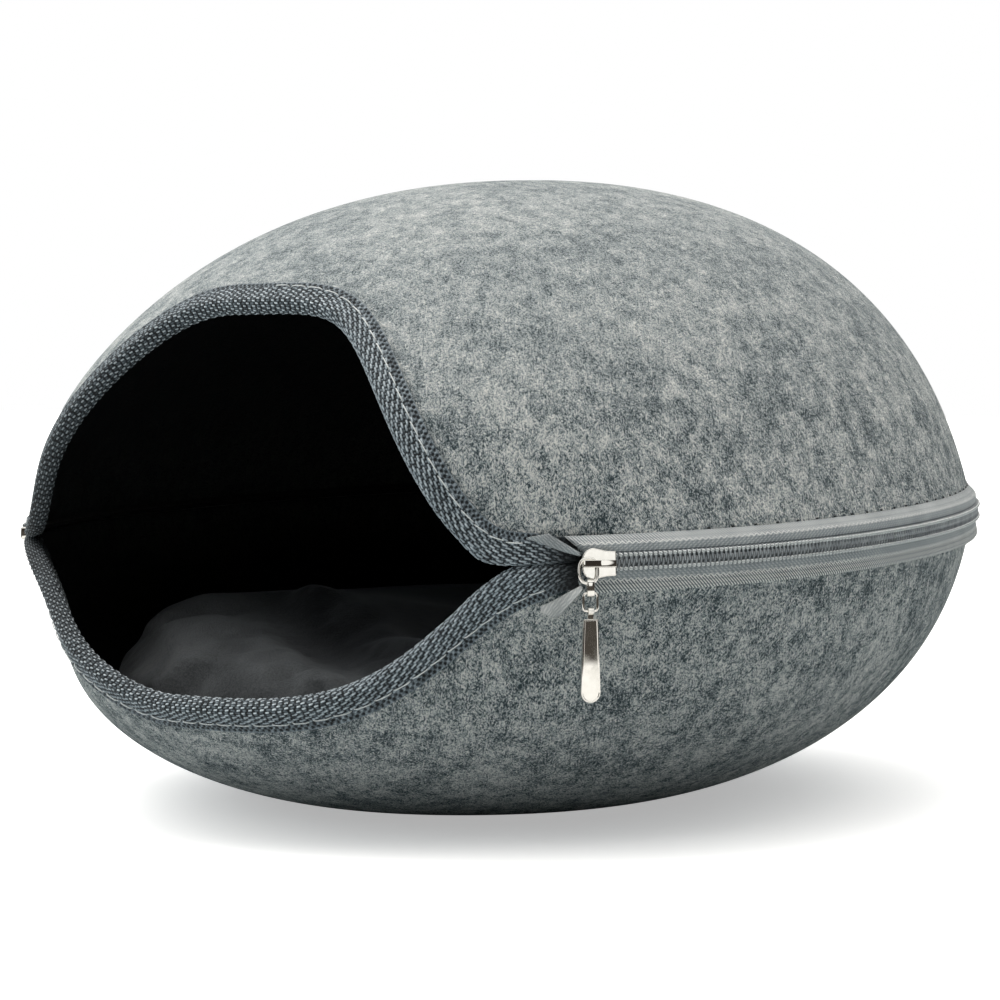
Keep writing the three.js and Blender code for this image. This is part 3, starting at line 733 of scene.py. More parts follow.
def braid_section(counts, thin):
    """Points from the outer edge round the fold to the inner edge, their normals and their run."""
    face, back, fold = BRAID_FACE - thin, BRAID_BACK + thin, BRAID_FOLD - thin
    middle, half = (face + back) / 2, (face - back) / 2
    turns = np.linspace(0, np.pi, FOLD_STEPS)
    x = np.concatenate([[BRAID_LEG], -fold * np.sin(turns), [BRAID_LEG]])
    y = np.concatenate([[face], middle + half * np.cos(turns), [back]])
    run = np.concatenate([[0], np.cumsum(np.hypot(np.diff(x), np.diff(y)))])
    inner_leg = run[-1] - BRAID_LEG
    outer = np.linspace(0, inner_leg, counts[0], endpoint=False)
    at = np.concatenate([outer, np.linspace(inner_leg, run[-1], counts[1])])
    section = np.stack([np.interp(at, run, x), np.interp(at, run, y)], axis=-1)
    slope = np.gradient(section, at, axis=0)
    return section, unit(np.stack([slope[:, 1], -slope[:, 0]], axis=-1)), at


braid_width = braid_section((BRAID_FINE, BRAID_COARSE), 0)[2][-1]
print(f"braid before folding: {braid_width / MM:.1f} mm wide")

# %% Places beside the cut edge


def edge_steps(shell, angles):
    """Turn in degrees and climb in u for each metre square to the felt's cut edge."""
    u = felt_edge(shell, angles)
    around, along, out = directions(shell, angles, u)
    slope = felt_edge(shell, angles + SMALL_TURN) - felt_edge(shell, angles - SMALL_TURN)
    edge = around + along * (slope / (2 * SMALL_TURN))[:, None]
    square = unit(np.cross(out, edge))
    square *= np.sign((square * along).sum(-1))[:, None]
    rr, ra, aa = (around * around).sum(-1), (around * along).sum(-1), (along * along).sum(-1)
    sr, sa = (square * around).sum(-1), (square * along).sum(-1)
    det = rr * aa - ra * ra
    return u, (sr * aa - sa * ra) / det, (sa * rr - sr * ra) / det


def beside_edge(shell, angles, inwards, lift):
    """Places measured from the cut edge into the felt, and off its outer face."""
    u, turn, climb = edge_steps(shell, angles)
    turned = angles[:, None] + turn[:, None] * inwards
    risen = u[:, None] + climb[:, None] * inwards
    return on_shell(shell, turned, risen, lift - tuck(turned, risen))


climb = edge_steps(DOME, np.array([0.0]))[2][0]
print(f"on the arch, 1 mm square to the cut edge is a climb of {climb * MM:.4f} in u")

# %% Selvage
EDGE_ROWS = (0.5 * MM, 1.75 * MM)
EDGE_PITCH = 2.45 * MM
EDGE_HOLE = (0.4 * MM, 0.95 * MM)
EDGE_BAND = (2.3 * MM, 2.8 * MM)
EDGE_LEVEL = 0.64


def selvage(place):
    """How far each point belongs to the braid's outer edge, and its height there between rows of holes."""
    hole = np.zeros(place.shape[:-1])
    for number, row in enumerate(EDGE_ROWS):
        along = place[..., 0] + number * EDGE_PITCH / 2
        along = along - EDGE_PITCH * np.round(along / EDGE_PITCH)
        hole = np.maximum(hole, 1 - smoothstep(np.hypot(along, place[..., 1] - row), *EDGE_HOLE))
    return 1 - smoothstep(place[..., 1], *EDGE_BAND), EDGE_LEVEL * (1 - hole)


print(f"selvage: {EDGE_BAND[0] / MM:.1f} mm wide, with {len(EDGE_ROWS)} rows of holes")

# %% Section fitted to the mouth
BRAID_LEG_END = 7.5 * MM
BRAID_THICK = 0.9 * MM
BRAID_UNDER = 4
NARROW_END = (20 * MM, 4 * MM)
LIP_TURN = (35, 42)
LIP_REACH = 4.2 * MM


def fitted_section(shell, angles, run):
    """The section at each step along the edge. At the right corner it is narrower and reaches the zip."""
    section, normal, across = braid_section((BRAID_FINE, BRAID_COARSE), 0.0)
    under = braid_section((BRAID_UNDER, BRAID_UNDER), BRAID_THICK)[0][::-1]
    flat = np.concatenate([section, under])
    normal = np.concatenate([normal, np.zeros_like(under)])
    narrow = smoothstep(run, run[-1] - NARROW_END[0], run[-1] - NARROW_END[1])[:, None]
    leg = 1 + (BRAID_LEG_END / BRAID_LEG - 1) * narrow
    below = felt_edge(shell, angles) * shell.rise - BRAID_FOLD
    lip = 1 + (smoothstep(angles, *LIP_TURN) * np.clip(below, 0, LIP_REACH))[:, None] / BRAID_FOLD
    x = np.where(flat[:, 0] > 0, flat[:, 0] * leg, flat[:, 0] * lip)
    y = np.broadcast_to(flat[:, 1], x.shape)
    return x, y, normal, len(across)


def strip_places(x, y, run, outer):
    """The run along the braid and the way across it from its outer edge, for every point."""
    steps = np.hypot(np.diff(x[:, :outer], axis=1), np.diff(y[:, :outer], axis=1))
    place = np.zeros((*x.shape, 3))
    place[..., 0] = run[:, None]
    place[:, 1:outer, 1] = np.cumsum(steps, axis=1)
    place[..., 1] -= END / 2
    return place


trial_run = even_run(mouth_line(DOME), -CORNER_LEFT, CORNER_RIGHT, 1 * MM)
print("points round one section:", fitted_section(DOME, *trial_run)[0].shape[1])

# %% [markdown]
# On the dome's left and over the arch, and at the front of the bowl, the braid is stretched round the fold.
# Its weave is looser there, and each crown shows as a round dot. The left part of the mouth and the corner
# beside the slider lie in deep shade in the photograph, so the braid carries a dark mark there.

# %% Bindings along the mouth
BRAID_RISE = 0.6 * MM
BRAID_STEP = 0.48 * MM
BRAID_END = 3.5 * MM
BEND_FADE = 10
DARK_CORNER = 21 * MM
DARK_LEFT = 0.72
DARK_FADE = 220 * MM


def binding(name, shell, node, stretched, rows):
    """One binding. It loosens between two angles, and over a range of millimetres from its outer edge."""
    angles, run = even_run(mouth_line(shell), -CORNER_LEFT, CORNER_RIGHT, BRAID_STEP)
    x, y, normal, outer = fitted_section(shell, angles, run)
    place = strip_places(x, y, run, outer)
    begin, end = stretched
    bend = smoothstep(angles, begin - BEND_FADE, begin) * (1 - smoothstep(angles, end, end + BEND_FADE))
    loose = smoothstep(place[..., 1] / MM, *rows) * bend[:, None]
    height = plain_weave(place[..., 0] / PICK, place[..., 1] / END, FLOAT_TILT, loose)
    edge, level = selvage(place)
    height = BRAID_RISE * (height + (level - height) * edge - 1 / 3)
    x = x + normal[:, 0] * height
    y = y + normal[:, 1] * height
    ends = np.minimum(run, run[-1] - run) / BRAID_END
    full = np.sqrt(np.clip(1 - (1 - np.clip(ends, 0, 1)) ** 2, 0.02, 1))[:, None]
    middle = (BRAID_FACE + BRAID_BACK) / 2
    points = beside_edge(shell, angles, x, middle + (y - middle) * full)
    piece = new_piece(name, points, closed_strip(*x.shape), braid, "braid", [node])
    keep_values(piece, "strip", place.reshape(-1, 3))
    keep_values(piece, "loose", loose.ravel())
    keep_values(piece, "edge", np.stack([edge, level, 0 * edge], axis=-1).reshape(-1, 3))
    # Painted shade beside the slider and along the left part of the mouth
    dark = smoothstep(run, run[-1] - DARK_CORNER, run[-1] - 1 * MM)
    dark = np.maximum(dark, DARK_LEFT * (1 - smoothstep(run, 0, DARK_FADE)))
    keep_values(piece, "hollow_and_painted_shade", np.repeat(dark, x.shape[1]))
    return piece


braid_top = binding("braid_top", DOME, "binding_top", (-60, 8), (2, 5))
braid_bottom = binding("braid_bottom", BOWL, "binding_bottom", (-32, 16), (6, 9))

# %% [markdown]
# ## Tubes
# Sewing thread, the zip's coils and the wire of the pull are all tubes along a path. One helper sweeps a
# ring of points along many paths at once. The paths come as an array of path, point and coordinate.

# %% Swept tubes


def tube_mesh(paths, radius, sides, closed, guide):
    """Points and faces of tubes along paths. The guide is a direction that no path runs along."""
    count, steps = paths.shape[:2]
    if closed:
        ahead = np.roll(paths, -1, axis=1) - np.roll(paths, 1, axis=1)
    else:
        ahead = np.gradient(paths, axis=1)
    ahead = unit(ahead)
    across = unit(np.cross(np.broadcast_to(guide, ahead.shape), ahead))
    lift = np.cross(ahead, across)
    turns = 2 * np.pi * np.arange(sides) / sides
    radius = np.broadcast_to(radius, (count, steps))[..., None, None]
    ring = across[:, :, None] * np.cos(turns)[:, None] + lift[:, :, None] * np.sin(turns)[:, None]
    points = paths[:, :, None] + radius * ring
    if closed:
        quads = np.concatenate([grid_quads(steps, sides, True), wrap_quads(steps, sides)])
    else:
        quads = grid_quads(steps, sides, True)
    offsets = (np.arange(count) * steps * sides)[:, None, None]
    faces = [list(quad) for quad in (quads[None] + offsets).reshape(-1, 4)]
    if not closed:
        for first in offsets.ravel():
            faces.append([first + k for k in range(sides)])
            faces.append([first + (steps - 1) * sides + k for k in range(sides)])
    return points.reshape(-1, 3), faces


def wrap_quads(steps, sides):
    """The quads that join the last ring of a closed tube to its first."""
    k = np.arange(sides)
    last = (steps - 1) * sides
    return np.stack([last + k, last + (k + 1) % sides, (k + 1) % sides, k], axis=-1)


trial = tube_mesh(np.array([[(0.0, 0, 0), (1, 0, 0)]]), 0.1, 6, False, (0, 0, 1))
print("a straight tube with six sides has", len(trial[1]), "faces")

# %% [markdown]
# ## Thread line on the bindings
# One line of long lockstitches holds each binding, about two thirds of the way from the fold to the outer
# edge, and nearer to that edge at the top of the arch. Each stitch is a tube that rises out of the weave,
# lies on its crowns and dips in again. On the dome the line starts at the middle of the arch, because left
# of it the photograph shows none.

# %% Sewing thread
STITCH_SLANT = 0.4 * MM
STITCH_PITCH = 8.0 * MM
STITCH_LENGTH = 6.8 * MM
STITCH_RADIUS = 0.25 * MM
STITCH_LIFT = BRAID_FACE + 0.75 * MM
STITCH_DIP = 0.9 * MM
STITCH_STEPS = 11
STITCH_LAST = 4
THREAD_SIDES = 6
THREAD_PALE = (0.82, 0.84, 0.83, 1)
THREAD_DARK = (0.46, 0.48, 0.485, 1)
UPWARDS = np.array([0.3, 0.2, 0.93])

thread, tree, shader = new_material("thread", Roughness=0.6, Sheen_Weight=0.2)
place = add_node(tree, "ShaderNodeTexCoord").outputs["Object"]
spun = place_group(tree, STREAKS, Vector=place, Length=1.2 * MM, Width=0.3 * MM, Curl=0.3 * MM)
colours = mix_colour(tree, spun["Dark"], THREAD_PALE, THREAD_DARK)
tree.links.new(colours, shader.inputs["Base Color"])
add_bump(tree, shader, spun["Pale"], 0.1 * MM, 0.4)


def thread_line(name, shell, first, inwards):
    """Stitches from a first angle on. Inwards gives angles, and millimetres from the cut edge there."""
    angles, run = even_run(mouth_line(shell), first, CORNER_RIGHT - STITCH_LAST, 0.4 * MM)
    starts = np.arange(STITCH_PITCH, run[-1] - STITCH_PITCH, STITCH_PITCH)
    share = np.linspace(0, 1, STITCH_STEPS)
    places = np.interp((starts[:, None] + STITCH_LENGTH * share).ravel(), run, angles)
    away = np.interp(places, *inwards) * MM + np.tile(STITCH_SLANT * share, len(starts))
    lift = np.tile(STITCH_LIFT - STITCH_DIP * np.abs(2 * share - 1) ** 5, len(starts))
    paths = beside_edge(shell, places, away[:, None], lift[:, None]).reshape(len(starts), -1, 3)
    points, faces = tube_mesh(paths, STITCH_RADIUS, THREAD_SIDES, False, UPWARDS)
    return new_piece(name, points, faces, thread, "braid")


thread_top = thread_line("thread_top", DOME, 0, ((0, 20), (7.5, 5.2)))
thread_bottom = thread_line("thread_bottom", BOWL, -CORNER_LEFT + 2, ((0, 20), (5.3, 5.6)))

# %% [markdown]
# ## Zip tapes
# Two woven tapes lie on the felt above and below the coils. Each starts under its coil and steps up beside
# it to a flat part. The upper tape then slopes down to the felt, and the lower one stands out and turns
# under. Both end in a border woven of slanting dashes, which lean opposite ways. At the right corner of the
# mouth the tape's end turns out over the binding as a small leaf. The tape keeps its own run and width at
# every point, so that the weave can be drawn along it. A third number says which tape it is, and marks the
# lower leaf.

# %% Widths and tones of the tapes
TAPE_BORDER = 7.0 * MM
GROOVE_PLACE = 3.7 * MM
GROOVE_HALF = 0.6 * MM
TAPE_DEEP = (0.085, 0.097, 0.105, 1)
TAPE_BASE = (0.305, 0.333, 0.347, 1)
TAPE_PALE = (0.71, 0.71, 0.69, 1)
TAPE_WEFT = 0.95 * MM
TAPE_WARP = 0.85 * MM
TAPE_BUMP = 0.25 * MM
DASH_PITCH = 1.25 * MM
DASH_ROW = 1.6 * MM
DASH_GAP = (0.05 * MM, 0.3 * MM)
QUIET_UPPER = 0.5
UPPER_PAINTED_LIGHT = 0.22
ZIGZAG = 1.3 * MM
ZIGZAG_DEEP = 0.7
ZIGZAG_IN = 0.45 * MM
SEAM_WIDTH = (0.35 * MM, 0.6 * MM)
SEAM_TONE = 0.95
WEAVE_TONE = (0.34, 0.2)
GROOVE_PAINTED_SHADE = -0.3
WORN_SHARE = 0.14
TURNED_TONE = 0.3
print(f"the tapes' border has dashes {DASH_PITCH / MM} mm apart")

# %% Tape material
tape, tree, shader = new_material("tape", Roughness=0.65, Sheen_Weight=0.1, Sheen_Roughness=0.4)
shader.inputs["Specular IOR Level"].default_value = 0.3
strip = add_node(tree, "ShaderNodeAttribute", attribute_name="strip").outputs["Vector"]
parts = add_node(tree, "ShaderNodeSeparateXYZ", {0: strip}).outputs
weave = place_group(tree, WEAVE, Vector=strip, Pick=TAPE_WEFT, End=TAPE_WARP, Tilt=0.5)["Height"]
upper = parts["Z"]
lean = math_node(tree, "MULTIPLY_ADD", upper, 2.0, -1.0)
slant = math_node(tree, "MULTIPLY_ADD", parts["Y"], lean, parts["X"])
dashes = math_node(tree, "SINE", math_node(tree, "MULTIPLY", slant, 2 * math.pi / DASH_PITCH))
row = math_node(tree, "PINGPONG", math_node(tree, "SUBTRACT", parts["Y"], TAPE_BORDER), DASH_ROW / 2)
between = map_range(tree, row, *DASH_GAP, 0.5, 1.0)
dashes = math_node(tree, "MULTIPLY", map_range(tree, dashes, -0.3, 0.6), between)
quiet = math_node(tree, "MULTIPLY_ADD", upper, -QUIET_UPPER, 1.0)
# Painted light: the upper tape's border, the slope that faces up, is made paler
dashes = math_node(tree, "MULTIPLY_ADD", dashes, quiet, math_node(tree, "MULTIPLY", upper, UPPER_PAINTED_LIGHT))
wave = math_node(tree, "PINGPONG", parts["X"], ZIGZAG)
limit = math_node(tree, "MULTIPLY_ADD", wave, ZIGZAG_DEEP, TAPE_BORDER - ZIGZAG_IN)
past = math_node(tree, "SUBTRACT", parts["Y"], limit)
border = map_range(tree, past, 0.0, 0.15 * MM)
seam = math_node(tree, "SUBTRACT", border, map_range(tree, past, *SEAM_WIDTH))
# Painted shadow: the groove, a line beside the row of chain stitches, is darkened
beside = math_node(tree, "ABSOLUTE", math_node(tree, "SUBTRACT", parts["Y"], GROOVE_PLACE))
groove = map_range(tree, beside, GROOVE_HALF, 0.5 * GROOVE_HALF)
# Partly painted shade: the tape's weave is darker where it is low; the dashes, seam and wear are its own
plain = math_node(tree, "MULTIPLY_ADD", weave, *WEAVE_TONE)
plain = math_node(tree, "MULTIPLY_ADD", groove, GROOVE_PAINTED_SHADE, plain)
pattern = mix_value(tree, border, plain, dashes)
pattern = math_node(tree, "MAXIMUM", pattern, math_node(tree, "MULTIPLY", seam, SEAM_TONE))
worn = place_group(tree, CLOUDS, Vector=strip, Size=12 * MM)["Tone"]
tone = math_node(tree, "MULTIPLY_ADD", worn, WORN_SHARE, pattern)
turned = math_node(tree, "MAXIMUM", math_node(tree, "SUBTRACT", upper, 1.0), 0.0)
tone = math_node(tree, "MULTIPLY_ADD", turned, TURNED_TONE, tone)
colours = tone_ramp(tree, tone, (0.0, TAPE_DEEP), (0.4, TAPE_BASE), (1.0, TAPE_PALE))
# Painted shade: marked parts of the tapes are mixed towards near-black
hollow_and_painted_shade = add_node(tree, "ShaderNodeAttribute", attribute_name="hollow_and_painted_shade").outputs["Fac"]
tree.links.new(mix_colour(tree, hollow_and_painted_shade, colours, FELT_PAINTED_SHADE), shader.inputs["Base Color"])
add_bump(tree, shader, pattern, TAPE_BUMP, 0.6)
print("material:", tape.name)

# %% Tapes along the zip
# Front of each tape from the coils outwards, in millimetres: distance from the zip line, and lift off felt
TOP_FRONT = (
    (-0.3, 0.35), (0.0, 0.55), (2.4, 0.6), (2.7, 1.7), (3.1, 2.1), (5.0, 2.5), (6.9, 2.9), (7.3, 2.8),
    (8.3, 2.15), (9.4, 1.35), (10.5, 0.55), (10.8, 0.2),
)
BOTTOM_FRONT = (
    (0.25, 0.35), (0.4, 0.55), (2.2, 0.6), (2.5, 1.5), (2.9, 1.9), (4.2, 2.1), (5.4, 2.3), (5.9, 2.5),
    (7.2, 3.0), (8.6, 3.5), (9.7, 3.7), (10.3, 3.4), (10.6, 0.25),
)
# Slanting start of each tape: distance from the zip line in millimetres, and angle
TOP_START = ((0, 50.6), (4, 50.0), (6, 49.2), (10.8, 46.9))
BOTTOM_START = ((0, 50.6), (10.6, 49.6))
TAPE_BACK = 0.12 * MM
TAPE_END = 311.6
TAPE_STEP = 1.2 * MM
TAPE_FIRST = 46.0
TOP_BORDER = 7.2 * MM
BOTTOM_BORDER = 5.9 * MM
UNDER_COIL = 0.3 * MM


def on_tape(shell, angles, width, lift):
    """Points from an angle, a distance from the zip line and a lift off the felt."""
    climb = directions(shell, angles, 0 * width)[1]
    return on_shell(shell, angles, width / np.linalg.norm(climb, axis=-1), lift)


def tape_strip(shell, front, start, border):
    """Points, faces, places on the tape and marks of painted shade. Border is where its border starts."""
    front, start = np.array(front) * MM, np.array(start)
    width = np.concatenate([front[:, 0], front[-1:, 0], front[:1, 0]])
    lift = np.concatenate([front[:, 1], [TAPE_BACK, TAPE_BACK]])
    first = np.interp(width / MM, start[:, 0], start[:, 1])
    whole, run = even_run(zip_line(shell), TAPE_FIRST, TAPE_END, TAPE_STEP)
    share = (whole - TAPE_FIRST) / (TAPE_END - TAPE_FIRST)
    angles = first + (TAPE_END - first) * share[:, None]
    across = np.broadcast_to(width, angles.shape)
    points = on_tape(shell, angles, across, np.broadcast_to(lift, angles.shape))
    place = np.zeros((*angles.shape, 3))
    place[..., 0] = np.interp(angles, whole, run)
    place[..., 1] = across + TAPE_BORDER - border
    behind = np.broadcast_to(np.arange(len(width)) >= len(front), angles.shape)
    # Painted shade: the tape's back and the part under the coil are marked to show near-black
    dark = np.where(behind | (across < UNDER_COIL), 1.0, 0.0).ravel()
    return points.reshape(-1, 3), closed_strip(*angles.shape), place.reshape(-1, 3), dark


top_strip = tape_strip(DOME, TOP_FRONT, TOP_START, TOP_BORDER)
bottom_strip = tape_strip(BOWL, BOTTOM_FRONT, BOTTOM_START, BOTTOM_BORDER)
print("points in the upper and the lower strip:", len(top_strip[0]), len(bottom_strip[0]))

# %% Leaves at the corner
LEAF_THICK = 0.6 * MM
LEAF_SHADE = 0.28
LEAF_LIFT = 2.4 * MM
LEAF_ROWS = 26
LEAF_COLUMNS = 8
LEAF_BOW = 0.8
LEAF_TURN = 200 * MM
LEAF_SLANT = 0.5
LEAF_PLACE = 1 * MM
TOP_TILT = 1.4 * MM
BOTTOM_TILT = 3.2 * MM
# Rows of a leaf: angle, and its inner and outer edge in millimetres from the zip line
TOP_LEAF = (
    (42.8, 10.1, 10.6), (43.5, 9.5, 11.1), (45.1, 7.3, 11.7), (46.5, 5.3, 8.9), (47.5, 4.2, 6.7),
    (48.6, 3.0, 4.4),
)
BOTTOM_LEAF = (
    (44.7, 14.4, 14.9), (45.5, 13.4, 16.1), (46.2, 12.2, 17.2), (46.8, 11.2, 16.8), (47.6, 9.8, 13.0),
    (48.9, 7.6, 8.2),
)


def tape_leaf(shell, leaf, tilt):
    """The same four arrays as for a strip. The tilt lifts the leaf's outer edge off the binding."""
    table = np.array(leaf)
    angles = np.linspace(table[0, 0], table[-1, 0], LEAF_ROWS)
    inner = np.interp(angles, table[:, 0], table[:, 1])[:, None] * MM
    outer = np.interp(angles, table[:, 0], table[:, 2])[:, None] * MM
    share = np.linspace(0, 1, LEAF_COLUMNS)
    bowed = LEAF_LIFT + tilt * share + LEAF_THICK * (1 + LEAF_BOW * np.sin(np.pi * share))
    share = np.concatenate([share, [1, 0]])
    lift = np.concatenate([bowed, [LEAF_LIFT + tilt, LEAF_LIFT]])
    width = inner + (outer - inner) * share
    turned = np.broadcast_to(angles[:, None], width.shape)
    points = on_tape(shell, turned, width, np.broadcast_to(lift, width.shape))
    place = np.zeros((*width.shape, 3))
    place[..., 0] = np.radians(turned) * LEAF_TURN + width * LEAF_SLANT
    place[..., 1] = (inner - outer) * share - LEAF_PLACE
    # Painted shade across the middle of each leaf
    shade = LEAF_SHADE * np.sin(np.pi * np.linspace(0, 1, LEAF_ROWS)) ** 2
    dark = np.repeat(shade, width.shape[1])
    return points.reshape(-1, 3), closed_strip(*width.shape), place.reshape(-1, 3), dark


top_leaf = tape_leaf(DOME, TOP_LEAF, TOP_TILT)
bottom_leaf = tape_leaf(BOWL, BOTTOM_LEAF, BOTTOM_TILT)
print("points in the upper and the lower leaf:", len(top_leaf[0]), len(bottom_leaf[0]))

# %% Zip tapes


def zip_tape(name, shell, node, strip, leaf):
    points, faces = join_meshes(strip[:2], leaf[:2])
    piece = new_piece(name, points, faces, tape, "tape", [node])
    place = np.concatenate([strip[2], leaf[2]])
    place[: len(strip[2]), 2] = shell is DOME
    place[len(strip[2]) :, 2] = 1 + (shell is BOWL)
    keep_values(piece, "strip", place)
    keep_values(piece, "hollow_and_painted_shade", np.concatenate([strip[3], leaf[3]]))
    return piece


tape_top = zip_tape("tape_top", DOME, "zip_tape_top", top_strip, top_leaf)
tape_bottom = zip_tape("tape_bottom", BOWL, "zip_tape_bottom", bottom_strip, bottom_leaf)

# %% [markdown]
# A row of short dark stitches fastens the upper tape to the felt, just above the tape's edge. They show in
# the photograph as dark dots about a centimetre apart.

# %% Tape stitches
TACK_START = 60
TACK_PITCH = 10.6 * MM
TACK_LENGTH = 1.2 * MM
TACK_EDGE = 11.3 * MM
TACK_RADIUS = 0.36 * MM
TACK_LIFT = 0.15 * MM
TACK_DIP = 0.5 * MM
TACK_STEPS = 7
TACK_DARK = (0.012, 0.014, 0.016, 1)

dark_thread, tree, shader = new_material("dark_thread", Roughness=0.7)
shader.inputs["Base Color"].default_value = TACK_DARK

angles, run = even_run(zip_line(DOME), TACK_START, TAPE_END - 2, 1 * MM)
starts = np.arange(TACK_PITCH, run[-1] - TACK_PITCH, TACK_PITCH)
share = np.linspace(0, 1, TACK_STEPS)
places = np.interp(starts[:, None] + TACK_LENGTH * share, run, angles)
rise = np.linalg.norm(directions(DOME, places, np.zeros_like(places))[1], axis=-1)
lift = np.broadcast_to(TACK_LIFT - TACK_DIP * (2 * share - 1) ** 4, places.shape)
paths = on_shell(DOME, places, TACK_EDGE / rise, lift)
tacks = tube_mesh(paths, TACK_RADIUS, THREAD_SIDES, False, UPWARDS)
tape_tacks = new_piece("tape_tacks", *tacks, dark_thread, "tape")

# %% [markdown]
# ## Coils and chain stitches
# Each half of the zip is one long nylon spiral, sewn to its tape by a row of chain stitches. The two
# spirals mesh in the middle, half a turn apart. Both the spirals and the stitches follow the zip line, so
# they are worked out as run along the zip, height and distance out, and then placed on the bed.

# %% Places along the zip
CHAIN_START = 50.5
CHAIN_END = 310.5
COIL_PITCH = 1.87 * MM
COIL_RAISE = 0.35 * MM

zip_angles, zip_run = even_run(zip_line(DOME), CHAIN_START, CHAIN_END, 2 * MM)


def along_zip(run, up, out):
    """Points from a run along the zip, a height over its line and a distance straight out of it."""
    angles = np.interp(run, zip_run, zip_angles)
    outwards = directions(DOME, angles, np.zeros_like(angles))[2]
    outwards[..., 2] = 0
    points = dome(angles, np.zeros_like(angles)) + unit(outwards) * np.asarray(out)[..., None]
    points[..., 2] += up + COIL_RAISE
    return points


print(f"the closed zip is {zip_run[-1]:.3f} m long, with {int(zip_run[-1] / COIL_PITCH)} turns a side")

# %% Nylon coils
COIL_MIDDLE = 1.25 * MM
COIL_REACH = 1.85 * MM
COIL_OUT = 1.4 * MM
COIL_DEPTH = 0.8 * MM
COIL_WIRE = 0.4 * MM
COIL_STEPS = 12
COIL_SIDES = 5
COIL_SQUARE = 0.6
COIL_DARK = (0.24, 0.258, 0.273, 1)
COIL_PALE = (0.43, 0.452, 0.468, 1)
COIL_GLOSS = (0.36, 0.55)
STEEP = np.array([0.02, 0.03, 1.0])

coil, tree, shader = new_material("coil")
place = add_node(tree, "ShaderNodeTexCoord").outputs["Object"]
dust = place_group(tree, CLOUDS, Vector=place, Size=6 * MM)["Tone"]
tree.links.new(mix_colour(tree, dust, COIL_DARK, COIL_PALE), shader.inputs["Base Color"])
tree.links.new(map_range(tree, dust, 0.0, 1.0, *COIL_GLOSS), shader.inputs["Roughness"])


def signed_power(values, power):
    return np.sign(values) * np.abs(values) ** power


def coil_half(name, side):
    """The spiral above the zip line, with side 1, or below it, with side -1."""
    turns = int(zip_run[-1] / COIL_PITCH) - 1
    phase = 2 * np.pi * np.arange(turns * COIL_STEPS) / COIL_STEPS
    run = COIL_PITCH * (phase / (2 * np.pi) + (side > 0) / 2)
    up = side * (COIL_MIDDLE + COIL_REACH * np.cos(phase))
    out = COIL_OUT + COIL_DEPTH * signed_power(np.sin(phase), COIL_SQUARE)
    points, faces = tube_mesh(along_zip(run, up, out)[None], COIL_WIRE, COIL_SIDES, False, STEEP)
    return new_piece(name, points, faces, coil, "coil", ["zip_chain"])


coil_top = coil_half("coil_top", 1)
coil_bottom = coil_half("coil_bottom", -1)

# %% Chain stitches
CHAIN_UP = 2.55 * MM
CHAIN_OUT = 2.75 * MM
LOOP_HALF = 0.4 * MM
LOOP_TALL = 0.36 * MM
LOOP_THREAD = 0.36 * MM
LOOP_SLOPE = 0.16 * MM
LOOP_STEPS = 12
LOOP_SIDES = 4
FIRST_LOOP = 0.6


def chain_row(name, side):
    count = int(zip_run[-1] / COIL_PITCH) - 1
    turn = 2 * np.pi * np.arange(LOOP_STEPS) / LOOP_STEPS
    run = COIL_PITCH * (FIRST_LOOP + np.arange(count))[:, None] + LOOP_HALF * np.cos(turn)
    up = np.broadcast_to(side * CHAIN_UP + LOOP_TALL * np.sin(turn), run.shape)
    out = np.broadcast_to(CHAIN_OUT + LOOP_SLOPE * np.cos(turn), run.shape)
    points, faces = tube_mesh(along_zip(run, up, out), LOOP_THREAD, LOOP_SIDES, True, STEEP)
    return new_piece(name, points, faces, thread, "tape")


chain_stitch_top = chain_row("chain_stitch_top", 1)
chain_stitch_bottom = chain_row("chain_stitch_bottom", -1)

# %% [markdown]
# ## Nickel finish
# Slider, pull and end stop are die-cast zinc with polished nickel plating. Metal is mostly what it mirrors,
# so the shader stays simple: a warm white reflection, slightly uneven gloss from handling, and fine marks.

# %% Nickel material
NICKEL_CLEAN = (0.93, 0.91, 0.87, 1)
NICKEL_SMUDGED = (0.84, 0.82, 0.77, 1)
NICKEL_GLOSS = (0.015, 0.06)
MARK_SHARE = 0.3

nickel, tree, shader = new_material("nickel", Metallic=1.0)
place = add_node(tree, "ShaderNodeTexCoord").outputs["Object"]
smudge = place_group(tree, CLOUDS, Vector=place, Size=4 * MM)["Tone"]
marks = place_group(tree, STREAKS, Vector=place, Length=4 * MM, Width=0.3 * MM, Curl=0.5 * MM)["Pale"]
tree.links.new(mix_colour(tree, smudge, NICKEL_CLEAN, NICKEL_SMUDGED), shader.inputs["Base Color"])
worn = math_node(tree, "MULTIPLY_ADD", marks, MARK_SHARE, smudge)
tree.links.new(map_range(tree, worn, 0.0, 1 + MARK_SHARE, *NICKEL_GLOSS), shader.inputs["Roughness"])
print("material:", nickel.name)

# %% [markdown]
# ## Slider and pull
# The metal pieces are drawn in the slider's own axes: x along the zip away from the mouth, y up and z
# straight out. A plate with softened edges is a stack of copies of one outline, each drawn in by a little
# at its own height, which gives real rounded edges for the light to run along.

# %% Axes on the zip
SLIDER_ANGLE = 50.6


def zip_axes(angle):
    """Origin and axes on the zip line, as a 4 by 3 array: along the zip, up, out, and the origin last."""
    a, u = np.array(angle, dtype=float), np.array(0.0)
    around, _, out = directions(DOME, a, u)
    around[2] = out[2] = 0
    return np.array([unit(around), [0, 0, 1], unit(out), dome(a, u)])


def placed(points, angle):
    axes = zip_axes(angle)
    return points @ axes[:3] + axes[3]


print("slider stands at", zip_axes(SLIDER_ANGLE)[3].round(4))

# %% Plates with soft edges
FLAT_RING = 0.06 * MM
SOFT_STEPS = 5
SHARPEST = 0.35


